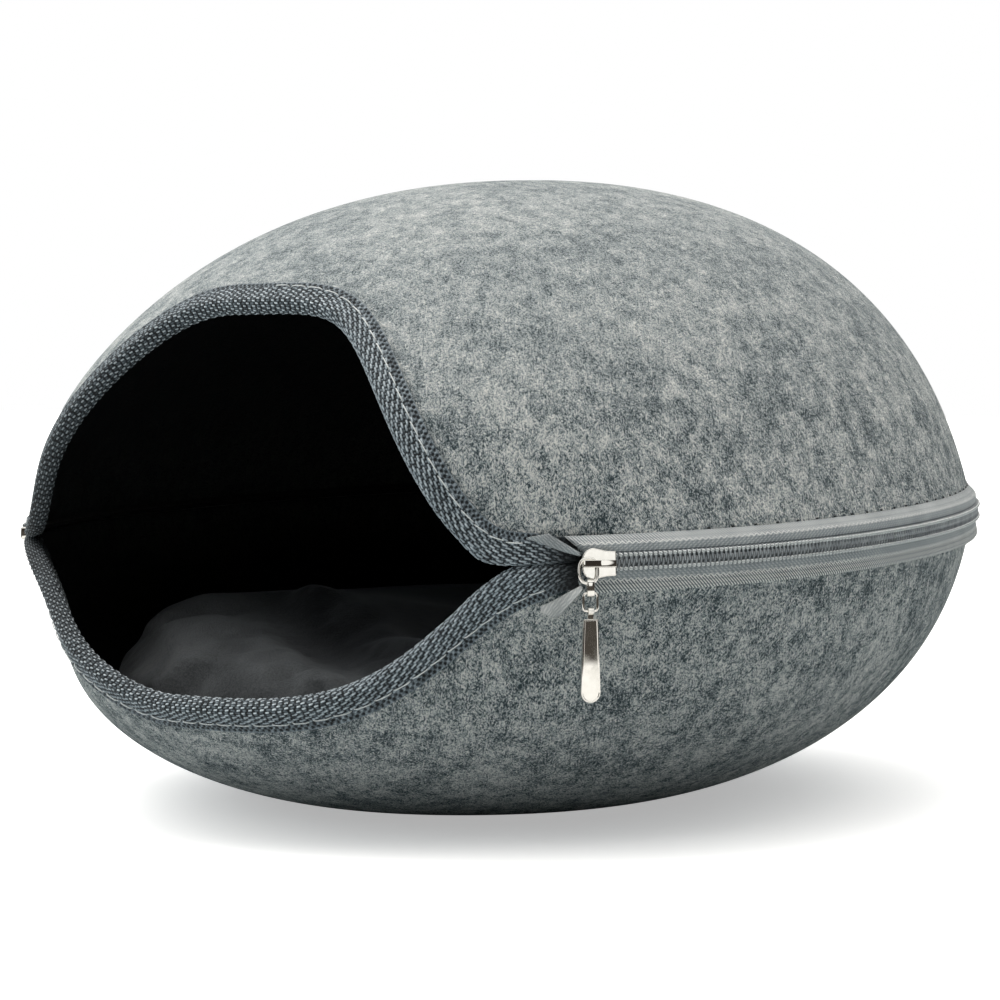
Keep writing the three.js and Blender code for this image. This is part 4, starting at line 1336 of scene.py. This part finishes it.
def drawn_in(outline, by):
    """A closed outline moved inwards by a distance, corner by corner."""
    before = unit(outline - np.roll(outline, 1, axis=0))
    after = unit(np.roll(outline, -1, axis=0) - outline)
    turned = lambda v: np.stack([-v[:, 1], v[:, 0]], axis=-1)
    middle = unit(turned(before) + turned(after))
    share = np.maximum(SHARPEST, (middle * turned(before)).sum(-1))
    return outline + middle * (by / share)[:, None]


def plate_mesh(outline, layers):
    """A solid plate from layers of (distance drawn in, height), from its back to its front."""
    (first, back), (last, front) = layers[0], layers[-1]
    layers = [(first + FLAT_RING, back), *layers, (last + FLAT_RING, front)]
    rows = [np.column_stack([drawn_in(outline, by), np.full(len(outline), z)]) for by, z in layers]
    return np.concatenate(rows), closed_strip(len(rows), len(outline))


def soft_layers(back, front, soft):
    """Layers of a plate whose edges are rounded by a quarter circle on both sides."""
    turns = np.linspace(0, np.pi / 2, SOFT_STEPS)
    lower = [(soft * (1 - np.sin(t)), back + soft * (1 - np.cos(t))) for t in turns]
    upper = [(soft * (1 - np.cos(t)), front - soft * (1 - np.sin(t))) for t in turns]
    return lower + upper


def rounded(corners, radius, steps=6):
    """A closed outline with each corner, given counter-clockwise, replaced by a short curve."""
    corners = np.asarray(corners, dtype=float)
    points = []
    for i, corner in enumerate(corners):
        back = unit(corners[i - 1] - corner)
        ahead = unit(corners[(i + 1) % len(corners)] - corner)
        start, end = corner + back * radius, corner + ahead * radius
        for t in np.linspace(0, 1, steps):
            points.append((1 - t) ** 2 * start + 2 * t * (1 - t) * corner + t * t * end)
    return np.array(points)


square = rounded([(0, 0), (1, 0), (1, 1), (0, 1)], 0.2)
print("a square with rounded corners has", len(square), "points")

# %% Slider
PLATE_HALF = 6.4 * MM
PLATE_BACK = 3.0 * MM
PLATE_FRONT = 4.6 * MM
PLATE_SOFT = 0.4 * MM
SLIDER_LEAN = math.radians(5)
# Upper side of the plate from its tail to its nose: shares of the half length, and heights
PLATE_SIDE = ((1.0, 4.5), (0.42, 4.7), (0.02, 5.3), (-0.4, 5.9), (-0.75, 4.9), (-0.93, 3.4), (-1.0, 1.6))
PLATE_CORNER = 0.7 * MM
STRAP_WIDTH = 2.8 * MM
STRAP_THICK = 1.2 * MM
STRAP_SOFT = 0.3 * MM
STRAP_CORNER = 0.4 * MM
# Outer side of the strap from its tail to its nose, in millimetres: along the zip, and out
STRAP_SIDE = (
    (6.2, 4.2), (6.2, 6.8), (5.4, 7.5), (0.4, 7.7), (-5.4, 6.6), (-6.2, 5.9), (-6.2, 4.2)
)


def leaning(points):
    """The slider leans back a little with the dome, about its own long axis."""
    x, y, z = points.T
    cosine, sine = math.cos(SLIDER_LEAN), math.sin(SLIDER_LEAN)
    deep = z - PLATE_BACK
    return np.column_stack([x, y * cosine + deep * sine, PLATE_BACK - y * sine + deep * cosine])


def slider_plate():
    upper = np.array(PLATE_SIDE) * [PLATE_HALF, MM]
    lower = upper[::-1] * [1, -1]
    corners = np.concatenate([upper, lower])
    return plate_mesh(rounded(corners, PLATE_CORNER), soft_layers(PLATE_BACK, PLATE_FRONT, PLATE_SOFT))


def slider_strap():
    outer = np.array(STRAP_SIDE) * MM
    inner = []
    for i, point in enumerate(outer):
        before = unit(point - outer[i - 1]) if i else unit(outer[1] - outer[0])
        after = unit(outer[i + 1] - point) if i + 1 < len(outer) else before
        inwards = unit(np.array([-(before + after)[1], (before + after)[0]]))
        inner.append(point + inwards * STRAP_THICK)
    corners = np.concatenate([outer, np.array(inner)[::-1]])
    layers = soft_layers(-STRAP_WIDTH / 2, STRAP_WIDTH / 2, STRAP_SOFT)
    points, faces = plate_mesh(rounded(corners, STRAP_CORNER, 4), layers)
    return points[:, [0, 2, 1]], faces


points, faces = join_meshes(slider_plate(), slider_strap())
place = placed(leaning(points), SLIDER_ANGLE)
new_piece("slider_body", place, faces, nickel, "metal", ["slider"])

# %% Ring
RING = SimpleNamespace(
    x=-4.3 * MM, y=-2.4 * MM, z=5.4 * MM, half_width=3.4 * MM, half_height=4.5 * MM, round=2.6, lean=0.12,
    wire=0.62 * MM,
)
RING_STEPS = 64
OUTWARDS = np.array([0.0, 0.0, 1.0])


def ring_path():
    turn = 2 * np.pi * np.arange(RING_STEPS) / RING_STEPS
    x = RING.x + RING.half_width * signed_power(np.cos(turn), 2 / RING.round)
    y = RING.y + RING.half_height * signed_power(np.sin(turn), 2 / RING.round)
    return np.stack([x, y, RING.z + RING.lean * np.maximum(0, -y)], axis=-1)


ring = tube_mesh(ring_path()[None], RING.wire, 12, True, OUTWARDS)
new_piece("ring_wire", placed(ring[0], SLIDER_ANGLE), ring[1], nickel, "metal", ["pull_ring"])

# %% Link
PULL_X = -3.6 * MM
PULL_Z = 6.25 * MM
LINK = SimpleNamespace(top=-5.95 * MM, bottom=-11.3 * MM, depth=0.8 * MM, band=0.6 * MM, width=2.6 * MM)
BAND_STEPS = 12


def band_mesh(top, bottom, depth, band, width):
    """A band bent round two wires, standing across them: a long ring with a rounded section."""
    turns = np.linspace(0, np.pi, BAND_STEPS)
    section = rounded([(0, 0), (band, 0), (band, width), (0, width)], band * 0.3, 3)
    x, reach = PULL_X - width / 2 + section[:, 1], depth + section[:, 0]
    over = np.column_stack([np.cos(turns), np.sin(turns)])
    path = np.concatenate([over, -over])
    middle = np.repeat([top - depth, bottom + depth], BAND_STEPS)
    rows = []
    for (z, y), centre in zip(path, middle):
        rows.append(np.column_stack([x, centre + y * reach, PULL_Z + z * reach]))
    columns = len(section)
    quads = np.concatenate([grid_quads(len(rows), columns, True), wrap_quads(len(rows), columns)])
    return np.concatenate(rows), [list(quad) for quad in quads]


link = band_mesh(LINK.top, LINK.bottom, LINK.depth, LINK.band, LINK.width)
new_piece("link_band", placed(link[0], SLIDER_ANGLE), link[1], nickel, "metal", ["pull_link"])

# %% Loop
LOOP = SimpleNamespace(top=-10.5 * MM, bottom=-17 * MM, half=2.6 * MM, corner=1.2 * MM, wire=0.5 * MM)


def loop_path():
    left, right = -LOOP.half, LOOP.half
    corners = [(right, LOOP.top), (left, LOOP.top), (left, LOOP.bottom), (right, LOOP.bottom)]
    outline = rounded(corners, LOOP.corner, 7)
    return np.column_stack([outline[:, 0] + PULL_X, outline[:, 1], np.full(len(outline), PULL_Z)])


loop = tube_mesh(loop_path()[None], LOOP.wire, 10, True, OUTWARDS)
new_piece("loop_wire", placed(loop[0], SLIDER_ANGLE), loop[1], nickel, "metal", ["pull_loop"])

# %% Tab
TAB = SimpleNamespace(top=-19.9 * MM, bottom=-50.6 * MM, top_width=5.8 * MM, width=7.5 * MM, thick=1.8 * MM)
TAB_TURN = math.radians(10)
TAB_RIM = 0.55 * MM
TAB_WALL = 0.12 * MM
TAB_SUNK = 0.3 * MM
TAB_SOFT = 0.3 * MM
TAB_CORNER = 0.5 * MM
NECK_HOLE = 0.8 * MM
NECK_WALL = 0.6 * MM
NECK_WIDTH = 2.2 * MM
NECK_CORNER = 0.2 * MM
NECK_SOFT = 0.15 * MM


def tab_outline():
    radius = TAB.width / 2
    turns = np.linspace(np.pi, 2 * np.pi, 28)
    arc = np.column_stack([radius * np.cos(turns), TAB.bottom + radius + radius * np.sin(turns)])
    half = TAB.top_width / 2
    shoulders = rounded([(half, TAB.top), (-half, TAB.top), (0, TAB.bottom)], TAB_CORNER, 4)[:8]
    return np.concatenate([arc, shoulders]) + [PULL_X, 0]


def tab_plate():
    back, front = PULL_Z - TAB.thick / 2, PULL_Z + TAB.thick / 2
    wall = TAB_RIM + TAB_WALL
    hollow_and_painted_shade = [(wall + FLAT_RING, TAB_SUNK), (wall, TAB_SUNK), (TAB_RIM, 0.0), (TAB_RIM - FLAT_RING, 0.0)]
    layers = [(by, back + deep) for by, deep in hollow_and_painted_shade] + soft_layers(back, front, TAB_SOFT)
    layers += [(by, front - deep) for by, deep in hollow_and_painted_shade[::-1]]
    return plate_mesh(tab_outline(), layers)


def tab_neck():
    low, high = TAB.top - NECK_WALL, LOOP.bottom - NECK_HOLE - NECK_WALL / 2
    half = NECK_WIDTH / 2
    corners = [(-half, low), (half, low), (half, high), (-half, high)]
    outline = rounded(corners, NECK_CORNER, 3) + [PULL_X, 0]
    return plate_mesh(outline, soft_layers(PULL_Z - TAB.thick / 4, PULL_Z + TAB.thick / 4, NECK_SOFT))


def turned_tab(points):
    """The tab hangs free, turned a little about its own length."""
    x, y, z = (points - [PULL_X, 0, PULL_Z]).T
    cosine, sine = math.cos(TAB_TURN), math.sin(TAB_TURN)
    return np.column_stack([x * cosine + z * sine, y, z * cosine - x * sine]) + [PULL_X, 0, PULL_Z]


eye = band_mesh(LOOP.bottom + NECK_HOLE, LOOP.bottom - NECK_HOLE, NECK_HOLE, NECK_WALL, NECK_WIDTH)
points, faces = join_meshes(tab_plate(), eye, tab_neck())
place = placed(turned_tab(points), SLIDER_ANGLE)
new_piece("tab_plate", place, faces, nickel, "metal", ["pull_tab"])

# %% [markdown]
# At the other end of the zip only a bit of metal shows: an end stop, clamped over the coils at the left
# corner of the mouth. A rounded plate is enough for it.

# %% End stop
STOP_ANGLE = 311.2
STOP_HALF = (2 * MM, 2.7 * MM)
STOP_BACK = -0.4 * MM
STOP_FRONT = 3.2 * MM
STOP_CORNER = 0.9 * MM
STOP_SOFT = 0.6 * MM

corners = np.array([(-1, -1), (1, -1), (1, 1), (-1, 1)]) * STOP_HALF
stop = plate_mesh(rounded(corners, STOP_CORNER), soft_layers(STOP_BACK, STOP_FRONT, STOP_SOFT))
new_piece("stop_clip", placed(stop[0], STOP_ANGLE), stop[1], nickel, "metal", ["zip_stop"])

# %% [markdown]
# ## Cushion
# A soft plush cushion lies in the bowl: a filled bag with a crown, drawn-in sides and a valley where it
# folds. Its first form comes from rings of points. The part behind the valley gets almost no light, so the
# points there carry the same dark mark as the hollow's felt.

# %% Plush material
PLUSH_DARK = (0.036, 0.0385, 0.041, 1)
PLUSH_PALE = (0.095, 0.101, 0.106, 1)
PLUSH_SHEEN = (0.5, 0.53, 0.56, 1)
NAP_SHARE = 0.5
PILE_PALE = 0.35
PILE_DARK = 0.25
PLUSH_LIFT = 0.2
PLUSH_BUMP = 0.6 * MM

plush, tree, shader = new_material("plush", Roughness=0.9, Sheen_Weight=0.3, Sheen_Roughness=0.35)
shader.inputs["Specular IOR Level"].default_value = 0.1
shader.inputs["Sheen Tint"].default_value = PLUSH_SHEEN
place = add_node(tree, "ShaderNodeTexCoord").outputs["Object"]
nap = place_group(tree, CLOUDS, Vector=place, Size=30 * MM)["Tone"]
pile = place_group(tree, STREAKS, Vector=place, Length=1.6 * MM, Width=0.7 * MM, Curl=2 * MM)
tone = math_node(tree, "MULTIPLY_ADD", nap, NAP_SHARE, PLUSH_LIFT)
tone = math_node(tree, "MULTIPLY_ADD", pile["Pale"], PILE_PALE, tone)
tone = math_node(tree, "MULTIPLY_ADD", pile["Dark"], -PILE_DARK, tone)
colours = mix_colour(tree, tone, PLUSH_DARK, PLUSH_PALE)
# Painted shade: the part behind the valley is mixed towards near-black
hollow_and_painted_shade = add_node(tree, "ShaderNodeAttribute", attribute_name="hollow_and_painted_shade").outputs["Fac"]
tree.links.new(mix_colour(tree, hollow_and_painted_shade, colours, FELT_PAINTED_SHADE), shader.inputs["Base Color"])
add_bump(tree, shader, tone, PLUSH_BUMP, 0.5)
print("material:", plush.name)

# %% Folds of the cushion
# A hump, a peak, a drop at the back, a valley between them, a crease at the left end and one tuft
HUMP = SimpleNamespace(x=-86 * MM, y=-98 * MM, spread=58 * MM, rise=8.5 * MM)
PEAK = SimpleNamespace(x=-44 * MM, y=-62 * MM, spread=12 * MM, rise=6 * MM)
DROP = SimpleNamespace(x=(-25 * MM, 35 * MM), y=(-118 * MM, -62 * MM), depth=17 * MM)
VALLEY = SimpleNamespace(x=2 * MM, y=-110 * MM, turn=-29, width=12 * MM, length=60 * MM, depth=12 * MM)
CREASE = SimpleNamespace(x=-74 * MM, y=-131 * MM, turn=-35, width=5 * MM, length=34 * MM, depth=4 * MM)
TUFT = SimpleNamespace(x=-29 * MM, y=-154 * MM, z=55 * MM, spread=9 * MM, depth=9 * MM)


def beside_fold(fold, x, y):
    """Distances along a fold's line and across it."""
    turn = math.radians(fold.turn)
    along = (x - fold.x) * math.cos(turn) + (y - fold.y) * math.sin(turn)
    return along, (y - fold.y) * math.cos(turn) - (x - fold.x) * math.sin(turn)


def fold_share(fold, x, y):
    """1 along the bottom of a fold, falling to 0 beside it."""
    along, across = beside_fold(fold, x, y)
    return np.exp(-((along / fold.length) ** 2) - (across / fold.width) ** 2)


def mound(place, x, y):
    return place.rise * np.exp(-((x - place.x) ** 2 + (y - place.y) ** 2) / place.spread**2)


def tuft_share(points):
    away = points - [TUFT.x, TUFT.y, TUFT.z]
    return np.exp(-(away**2).sum(-1) / TUFT.spread**2)


print(f"the valley is {VALLEY.depth / MM:.0f} mm deep, and the hump {HUMP.rise / MM:.1f} mm high")

# %% Cushion form
CUSHION_HALF = 151 * MM
CUSHION_FRONT = 163 * MM
CUSHION_BACK = 165 * MM
CUSHION_ROUND = 2.3
CUSHION_Y = 2 * MM
CUSHION_REACH = 142
CUSHION_WAIST = 45
CUSHION_CROWN = 78
# Side of the cushion from its foot to its crown: share of its reach, and height in millimetres
CUSHION_SIDE = (
    (0.36, 4.4), (0.55, 9), (0.73, 19), (0.895, 33), (0.985, 45), (0.985, 55), (0.91, 65), (0.75, 73),
    (0.5, 77), (0.3, 78),
)
CUSHION_AROUND = 200
CUSHION_UP = 80


def cushion_points():
    table = np.array(CUSHION_SIDE)
    legs = np.hypot(np.diff(table[:, 0] * CUSHION_REACH), np.diff(table[:, 1]))
    run = np.concatenate([[0], np.cumsum(legs)])
    at = np.linspace(0, run[-1], CUSHION_UP)
    reach, z = np.interp(at, run, table[:, 0]), np.interp(at, run, table[:, 1])
    angle = np.radians(np.arange(CUSHION_AROUND) * 360 / CUSHION_AROUND)
    depth = np.where(np.cos(angle) > 0, CUSHION_FRONT, CUSHION_BACK)
    across, deep = np.abs(np.sin(angle)) / CUSHION_HALF, np.abs(np.cos(angle)) / depth
    plan = (across**CUSHION_ROUND + deep**CUSHION_ROUND) ** (-1 / CUSHION_ROUND)
    x = reach[:, None] * plan * np.sin(angle)
    y = CUSHION_Y - reach[:, None] * plan * np.cos(angle)
    share = smoothstep(z, CUSHION_WAIST, CUSHION_CROWN)[:, None]
    rise = mound(HUMP, x, y) + mound(PEAK, x, y)
    rise -= DROP.depth * smoothstep(x, *DROP.x) * smoothstep(y, *DROP.y)
    rise -= VALLEY.depth * fold_share(VALLEY, x, y) + CREASE.depth * fold_share(CREASE, x, y)
    points = np.stack([x, y, z[:, None] * MM + share * rise], axis=-1)
    inwards = unit(points * [1, 1, 0])
    return points - inwards * (TUFT.depth * tuft_share(points))[..., None]


rows = cushion_points()
under = np.array([0, CUSHION_Y, CUSHION_SIDE[0][1] * MM])
over = rows[-1].mean(axis=0)
points = np.concatenate([rows.reshape(-1, 3), [under, over]])
faces = [list(quad) for quad in grid_quads(CUSHION_UP, CUSHION_AROUND, True)]
last = (CUSHION_UP - 1) * CUSHION_AROUND
for k in range(CUSHION_AROUND):
    ahead = (k + 1) % CUSHION_AROUND
    faces.append([k, ahead, len(points) - 2])
    faces.append([last + k, last + ahead, len(points) - 1])
cushion = new_piece("plush_cushion", points, faces, plush, "plush", ["cushion"])

# %% [markdown]
# The drawn form is smooth, and a filled bag never is. So the form gets an even net of faces and is blown up
# a little as cloth: the foot, the folds and the tuft hold still while the faces between them swell. No point
# may move more than a few millimetres, so the cushion keeps its place in the bowl.

# %% Meshes in and out


def take_mesh(piece):
    """Gives a piece the mesh that its modifiers make of it, and takes the modifiers off."""
    graph = bpy.context.evaluated_depsgraph_get()
    piece.data = bpy.data.meshes.new_from_object(piece.evaluated_get(graph))
    piece.modifiers.clear()


def mesh_points(mesh):
    points = np.empty(len(mesh.vertices) * 3, dtype=np.float32)
    mesh.vertices.foreach_get("co", points)
    return points.reshape(-1, 3)


print("drawn form:", len(mesh_points(cushion.data)), "points")

# %% Even net and held points
VOXEL = 5 * MM
HELD_LEAST = 0.05
FOOT_FADE = (8 * MM, 16 * MM)


def net_points(piece):
    """Gives a piece an even net of faces, and returns the net's points."""
    net = piece.modifiers.new("net", "REMESH")
    net.mode = "VOXEL"
    net.voxel_size = VOXEL
    take_mesh(piece)
    return mesh_points(piece.data)


def hold_still(piece, points):
    """Names the points of the foot, the folds and the tuft, which hold still, in a group."""
    foot = 1 - smoothstep(points[:, 2], *FOOT_FADE)
    top = points[:, 2] > CUSHION_WAIST * MM
    folds = np.maximum(fold_share(VALLEY, *points.T[:2]), fold_share(CREASE, *points.T[:2])) * top
    still = np.maximum(np.maximum(foot, folds), tuft_share(points))
    held = piece.vertex_groups.new(name="held")
    for k in np.flatnonzero(still > HELD_LEAST):
        held.add([int(k)], float(still[k]), "REPLACE")
    return held.name


print(f"the net's faces are {VOXEL / MM:.0f} mm wide")

# %% Cushion as cloth
SWELL_FRAMES = 20
SWELL_CAP = 6 * MM
SWELL_PRESSURE = 4
FOOT = 4.3 * MM


def swollen_points(piece, held):
    """Blows a piece up as cloth for a few frames, and returns where its points went."""
    cloth = piece.modifiers.new("cloth", "CLOTH").settings
    cloth.quality = 6
    cloth.mass = 0.2
    cloth.bending_stiffness = 0.3
    cloth.use_pressure = True
    cloth.uniform_pressure_force = SWELL_PRESSURE
    cloth.shrink_min = -0.05
    cloth.vertex_group_mass = held
    cloth.effector_weights.gravity = 0
    for number in range(1, SWELL_FRAMES + 1):
        scene.frame_set(number)
    take_mesh(piece)
    scene.frame_set(1)
    return mesh_points(piece.data)


start = net_points(cushion)
moved = swollen_points(cushion, hold_still(cushion, start)) - start
length = np.linalg.norm(moved, axis=1, keepdims=True)
settled = start + moved * np.minimum(1, SWELL_CAP / np.maximum(length, 1e-9))
settled[:, 2] = np.maximum(settled[:, 2], FOOT)
cushion.data.vertices.foreach_set("co", settled.ravel())
cushion.modifiers.new("finer", "SUBSURF").levels = 1
take_mesh(cushion)
cushion.data.shade_smooth()
swelled = np.minimum(length, SWELL_CAP).mean() / MM
print(f"cushion: {len(start)} points moved {swelled:.1f} mm on average")

# %% Shade behind the valley
BEHIND_DARK = 0.9
BEHIND_FADE = (-10 * MM, 14 * MM)

points = mesh_points(cushion.data)
behind = beside_fold(VALLEY, *points.T[:2])[1]
# Painted shade: points behind the valley are marked
keep_values(cushion, "hollow_and_painted_shade", BEHIND_DARK * smoothstep(behind, *BEHIND_FADE))
print("cushion:", len(points), "points in all")

# %% [markdown]
# ## Cloth pieces
# The cloth pieces are the felt shells, moulded from flat blanks, the braid, folded over the cut edge, and
# the tapes as they come off the roll. The cushion is the one padded piece.

print("six cloth sheets and one padded piece")

# %% [markdown]
# ## Floor, light and camera
# The bed stands on a plain pale floor under a wide soft sky, as in a catalogue picture. The sky is brightest
# overhead and on the left, and dim in front, so that the dome's top and left side are the palest. Metal
# would mirror an even sky as plain white, so it sees a dark studio with a lamp overhead and two white panels
# instead.

# %% Soft sky
scene.view_settings.view_transform = "Standard"

SKY_LOW = (0.178, 0.228, 0.25, 1)
SKY_HIGH = (3.58, 3.48, 3.35, 1)
LEFT_GAIN = 0.86
RIGHT_DIM = 0.2
FRONT_DIM = 1.25
LEFT_SIDE = (-0.78, -0.63, 0)
FRONT_SIDE = (0.77, -0.64, 0)

world = bpy.data.worlds.new("sky")
scene.world = world
world.use_nodes = True
tree = world.node_tree
direction = add_node(tree, "ShaderNodeTexCoord").outputs["Generated"]


def towards(side):
    """How far the sky's direction is turned to one side: 1 straight towards it and -1 away from it."""
    inputs = {0: direction, 1: side}
    return add_node(tree, "ShaderNodeVectorMath", inputs, operation="DOT_PRODUCT").outputs["Value"]


height = add_node(tree, "ShaderNodeSeparateXYZ", {0: direction}).outputs["Z"]
high = math_node(tree, "MAXIMUM", height, 0.0)
soft = mix_colour(tree, math_node(tree, "MULTIPLY", high, high), SKY_LOW, SKY_HIGH)
leftward = towards(LEFT_SIDE)
ahead = math_node(tree, "MAXIMUM", towards(FRONT_SIDE), 0.0)
gain = math_node(tree, "MULTIPLY_ADD", math_node(tree, "MAXIMUM", leftward, 0.0), LEFT_GAIN, 1.0)
gain = math_node(tree, "MULTIPLY_ADD", math_node(tree, "MINIMUM", leftward, 0.0), RIGHT_DIM, gain)
gain = math_node(tree, "MULTIPLY_ADD", ahead, -FRONT_DIM, gain)
gain = math_node(tree, "MAXIMUM", gain, 0.0)
soft = add_node(tree, "ShaderNodeVectorMath", {0: soft, "Scale": gain}, operation="SCALE").outputs[0]
print(f"overhead the sky is {SKY_HIGH[1] / SKY_LOW[1]:.0f} times as bright as at the horizon")

# %% Studio that the metal mirrors
STUDIO_DARK = (0.035, 0.03, 0.026, 1)
STUDIO_LAMP = (1.05, 1.05, 1.02, 1)
LAMP_EDGE = (0.45, 0.6)
# White panels that only glossy faces mirror: azimuth, elevation and angular radius in degrees
PANELS = ((55, 9, 13), (-35, 12, 22))
PANEL_EDGE = (1.15, 0.9)
WHITE = (1, 1, 1, 1)

mirrored = mix_colour(tree, map_range(tree, height, *LAMP_EDGE), STUDIO_DARK, STUDIO_LAMP)
for azimuth, elevation, radius in PANELS:
    a, e, r = math.radians(azimuth), math.radians(elevation), math.radians(radius)
    middle = (math.sin(a) * math.cos(e), -math.cos(a) * math.cos(e), math.sin(e))
    share = map_range(tree, towards(middle), *[math.cos(edge * r) for edge in PANEL_EDGE])
    mirrored = mix_colour(tree, share, mirrored, STUDIO_LAMP)
seen = add_node(tree, "ShaderNodeLightPath").outputs
light = mix_colour(tree, seen["Is Glossy Ray"], soft, mirrored)
light = mix_colour(tree, seen["Is Camera Ray"], light, WHITE)
tree.links.new(light, tree.nodes["Background"].inputs["Color"])
print("sky with", len(PANELS), "panels for the metal")

# %% [markdown]
# The floor has to look white, light the bowl only a little and give the metal something to mirror. One
# material does all three, because it can tell which kind of ray meets it: a ray from the camera, one that
# comes off a glossy face, or one that carries light.

# %% Floor
FLOOR_HALF = 8.0
FLOOR_SEEN = (0.97, 0.97, 0.97, 1)
FLOOR_GLOW = (0.42, 0.42, 0.42, 1)
FLOOR_LIGHT = (0.53, 0.575, 0.59, 1)
TABLE_PALE = (0.66, 0.66, 0.65, 1)
TABLE_DARK = (0.04, 0.036, 0.032, 1)
TABLE_EDGE = (0.87, 0.93)
BLACK = (0, 0, 0, 1)
corners = [(-1, -1, 0), (1, -1, 0), (1, 1, 0), (-1, 1, 0)]
floor_mesh = bpy.data.meshes.new("floor")
floor_mesh.from_pydata([[FLOOR_HALF * c for c in corner] for corner in corners], [], [[0, 1, 2, 3]])
floor = bpy.data.objects.new("floor", floor_mesh)
scene.collection.objects.link(floor)
pale_floor, tree, shader = new_material("pale_floor", Roughness=1.0)
shader.inputs["Specular IOR Level"].default_value = 0.0
seen = add_node(tree, "ShaderNodeLightPath").outputs
place = add_node(tree, "ShaderNodeTexCoord").outputs["Object"]
away = add_node(tree, "ShaderNodeVectorMath", {0: place}, operation="LENGTH").outputs["Value"]
mirrored = mix_colour(tree, map_range(tree, away, *TABLE_EDGE), TABLE_PALE, TABLE_DARK)
colours = mix_colour(tree, seen["Is Glossy Ray"], FLOOR_LIGHT, mirrored)
colours = mix_colour(tree, seen["Is Camera Ray"], colours, FLOOR_SEEN)
tree.links.new(colours, shader.inputs["Base Color"])
shader.inputs["Emission Strength"].default_value = 1.0
glow = mix_colour(tree, seen["Is Camera Ray"], BLACK, FLOOR_GLOW)
tree.links.new(glow, shader.inputs["Emission Color"])
floor_mesh.materials.append(pale_floor)
print("floor:", 2 * FLOOR_HALF, "m wide")

# %% [markdown]
# The camera stands slightly above the floor, to the right of the mouth. Its place, its lens and a small
# shift of the picture were fitted to the photograph's outline of the bed.

# %% Camera
AZIMUTH = math.radians(38.8)
ELEVATION = math.radians(3.05)
DISTANCE = 1.2
TARGET = np.array([0, 0, 0.12])

camera = bpy.data.objects.new("camera", bpy.data.cameras.new("camera"))
scene.collection.objects.link(camera)
scene.camera = camera
camera.data.sensor_width = 36
camera.data.lens = 98.8
camera.data.shift_x = 0.014
camera.data.shift_y = 0.0136
level = math.cos(ELEVATION)
back = np.array([math.sin(AZIMUTH) * level, -math.cos(AZIMUTH) * level, math.sin(ELEVATION)])
camera.location = TARGET + DISTANCE * back
camera.rotation_euler = (math.pi / 2 - ELEVATION, 0, AZIMUTH)
print("camera at", [round(x, 3) for x in camera.location])
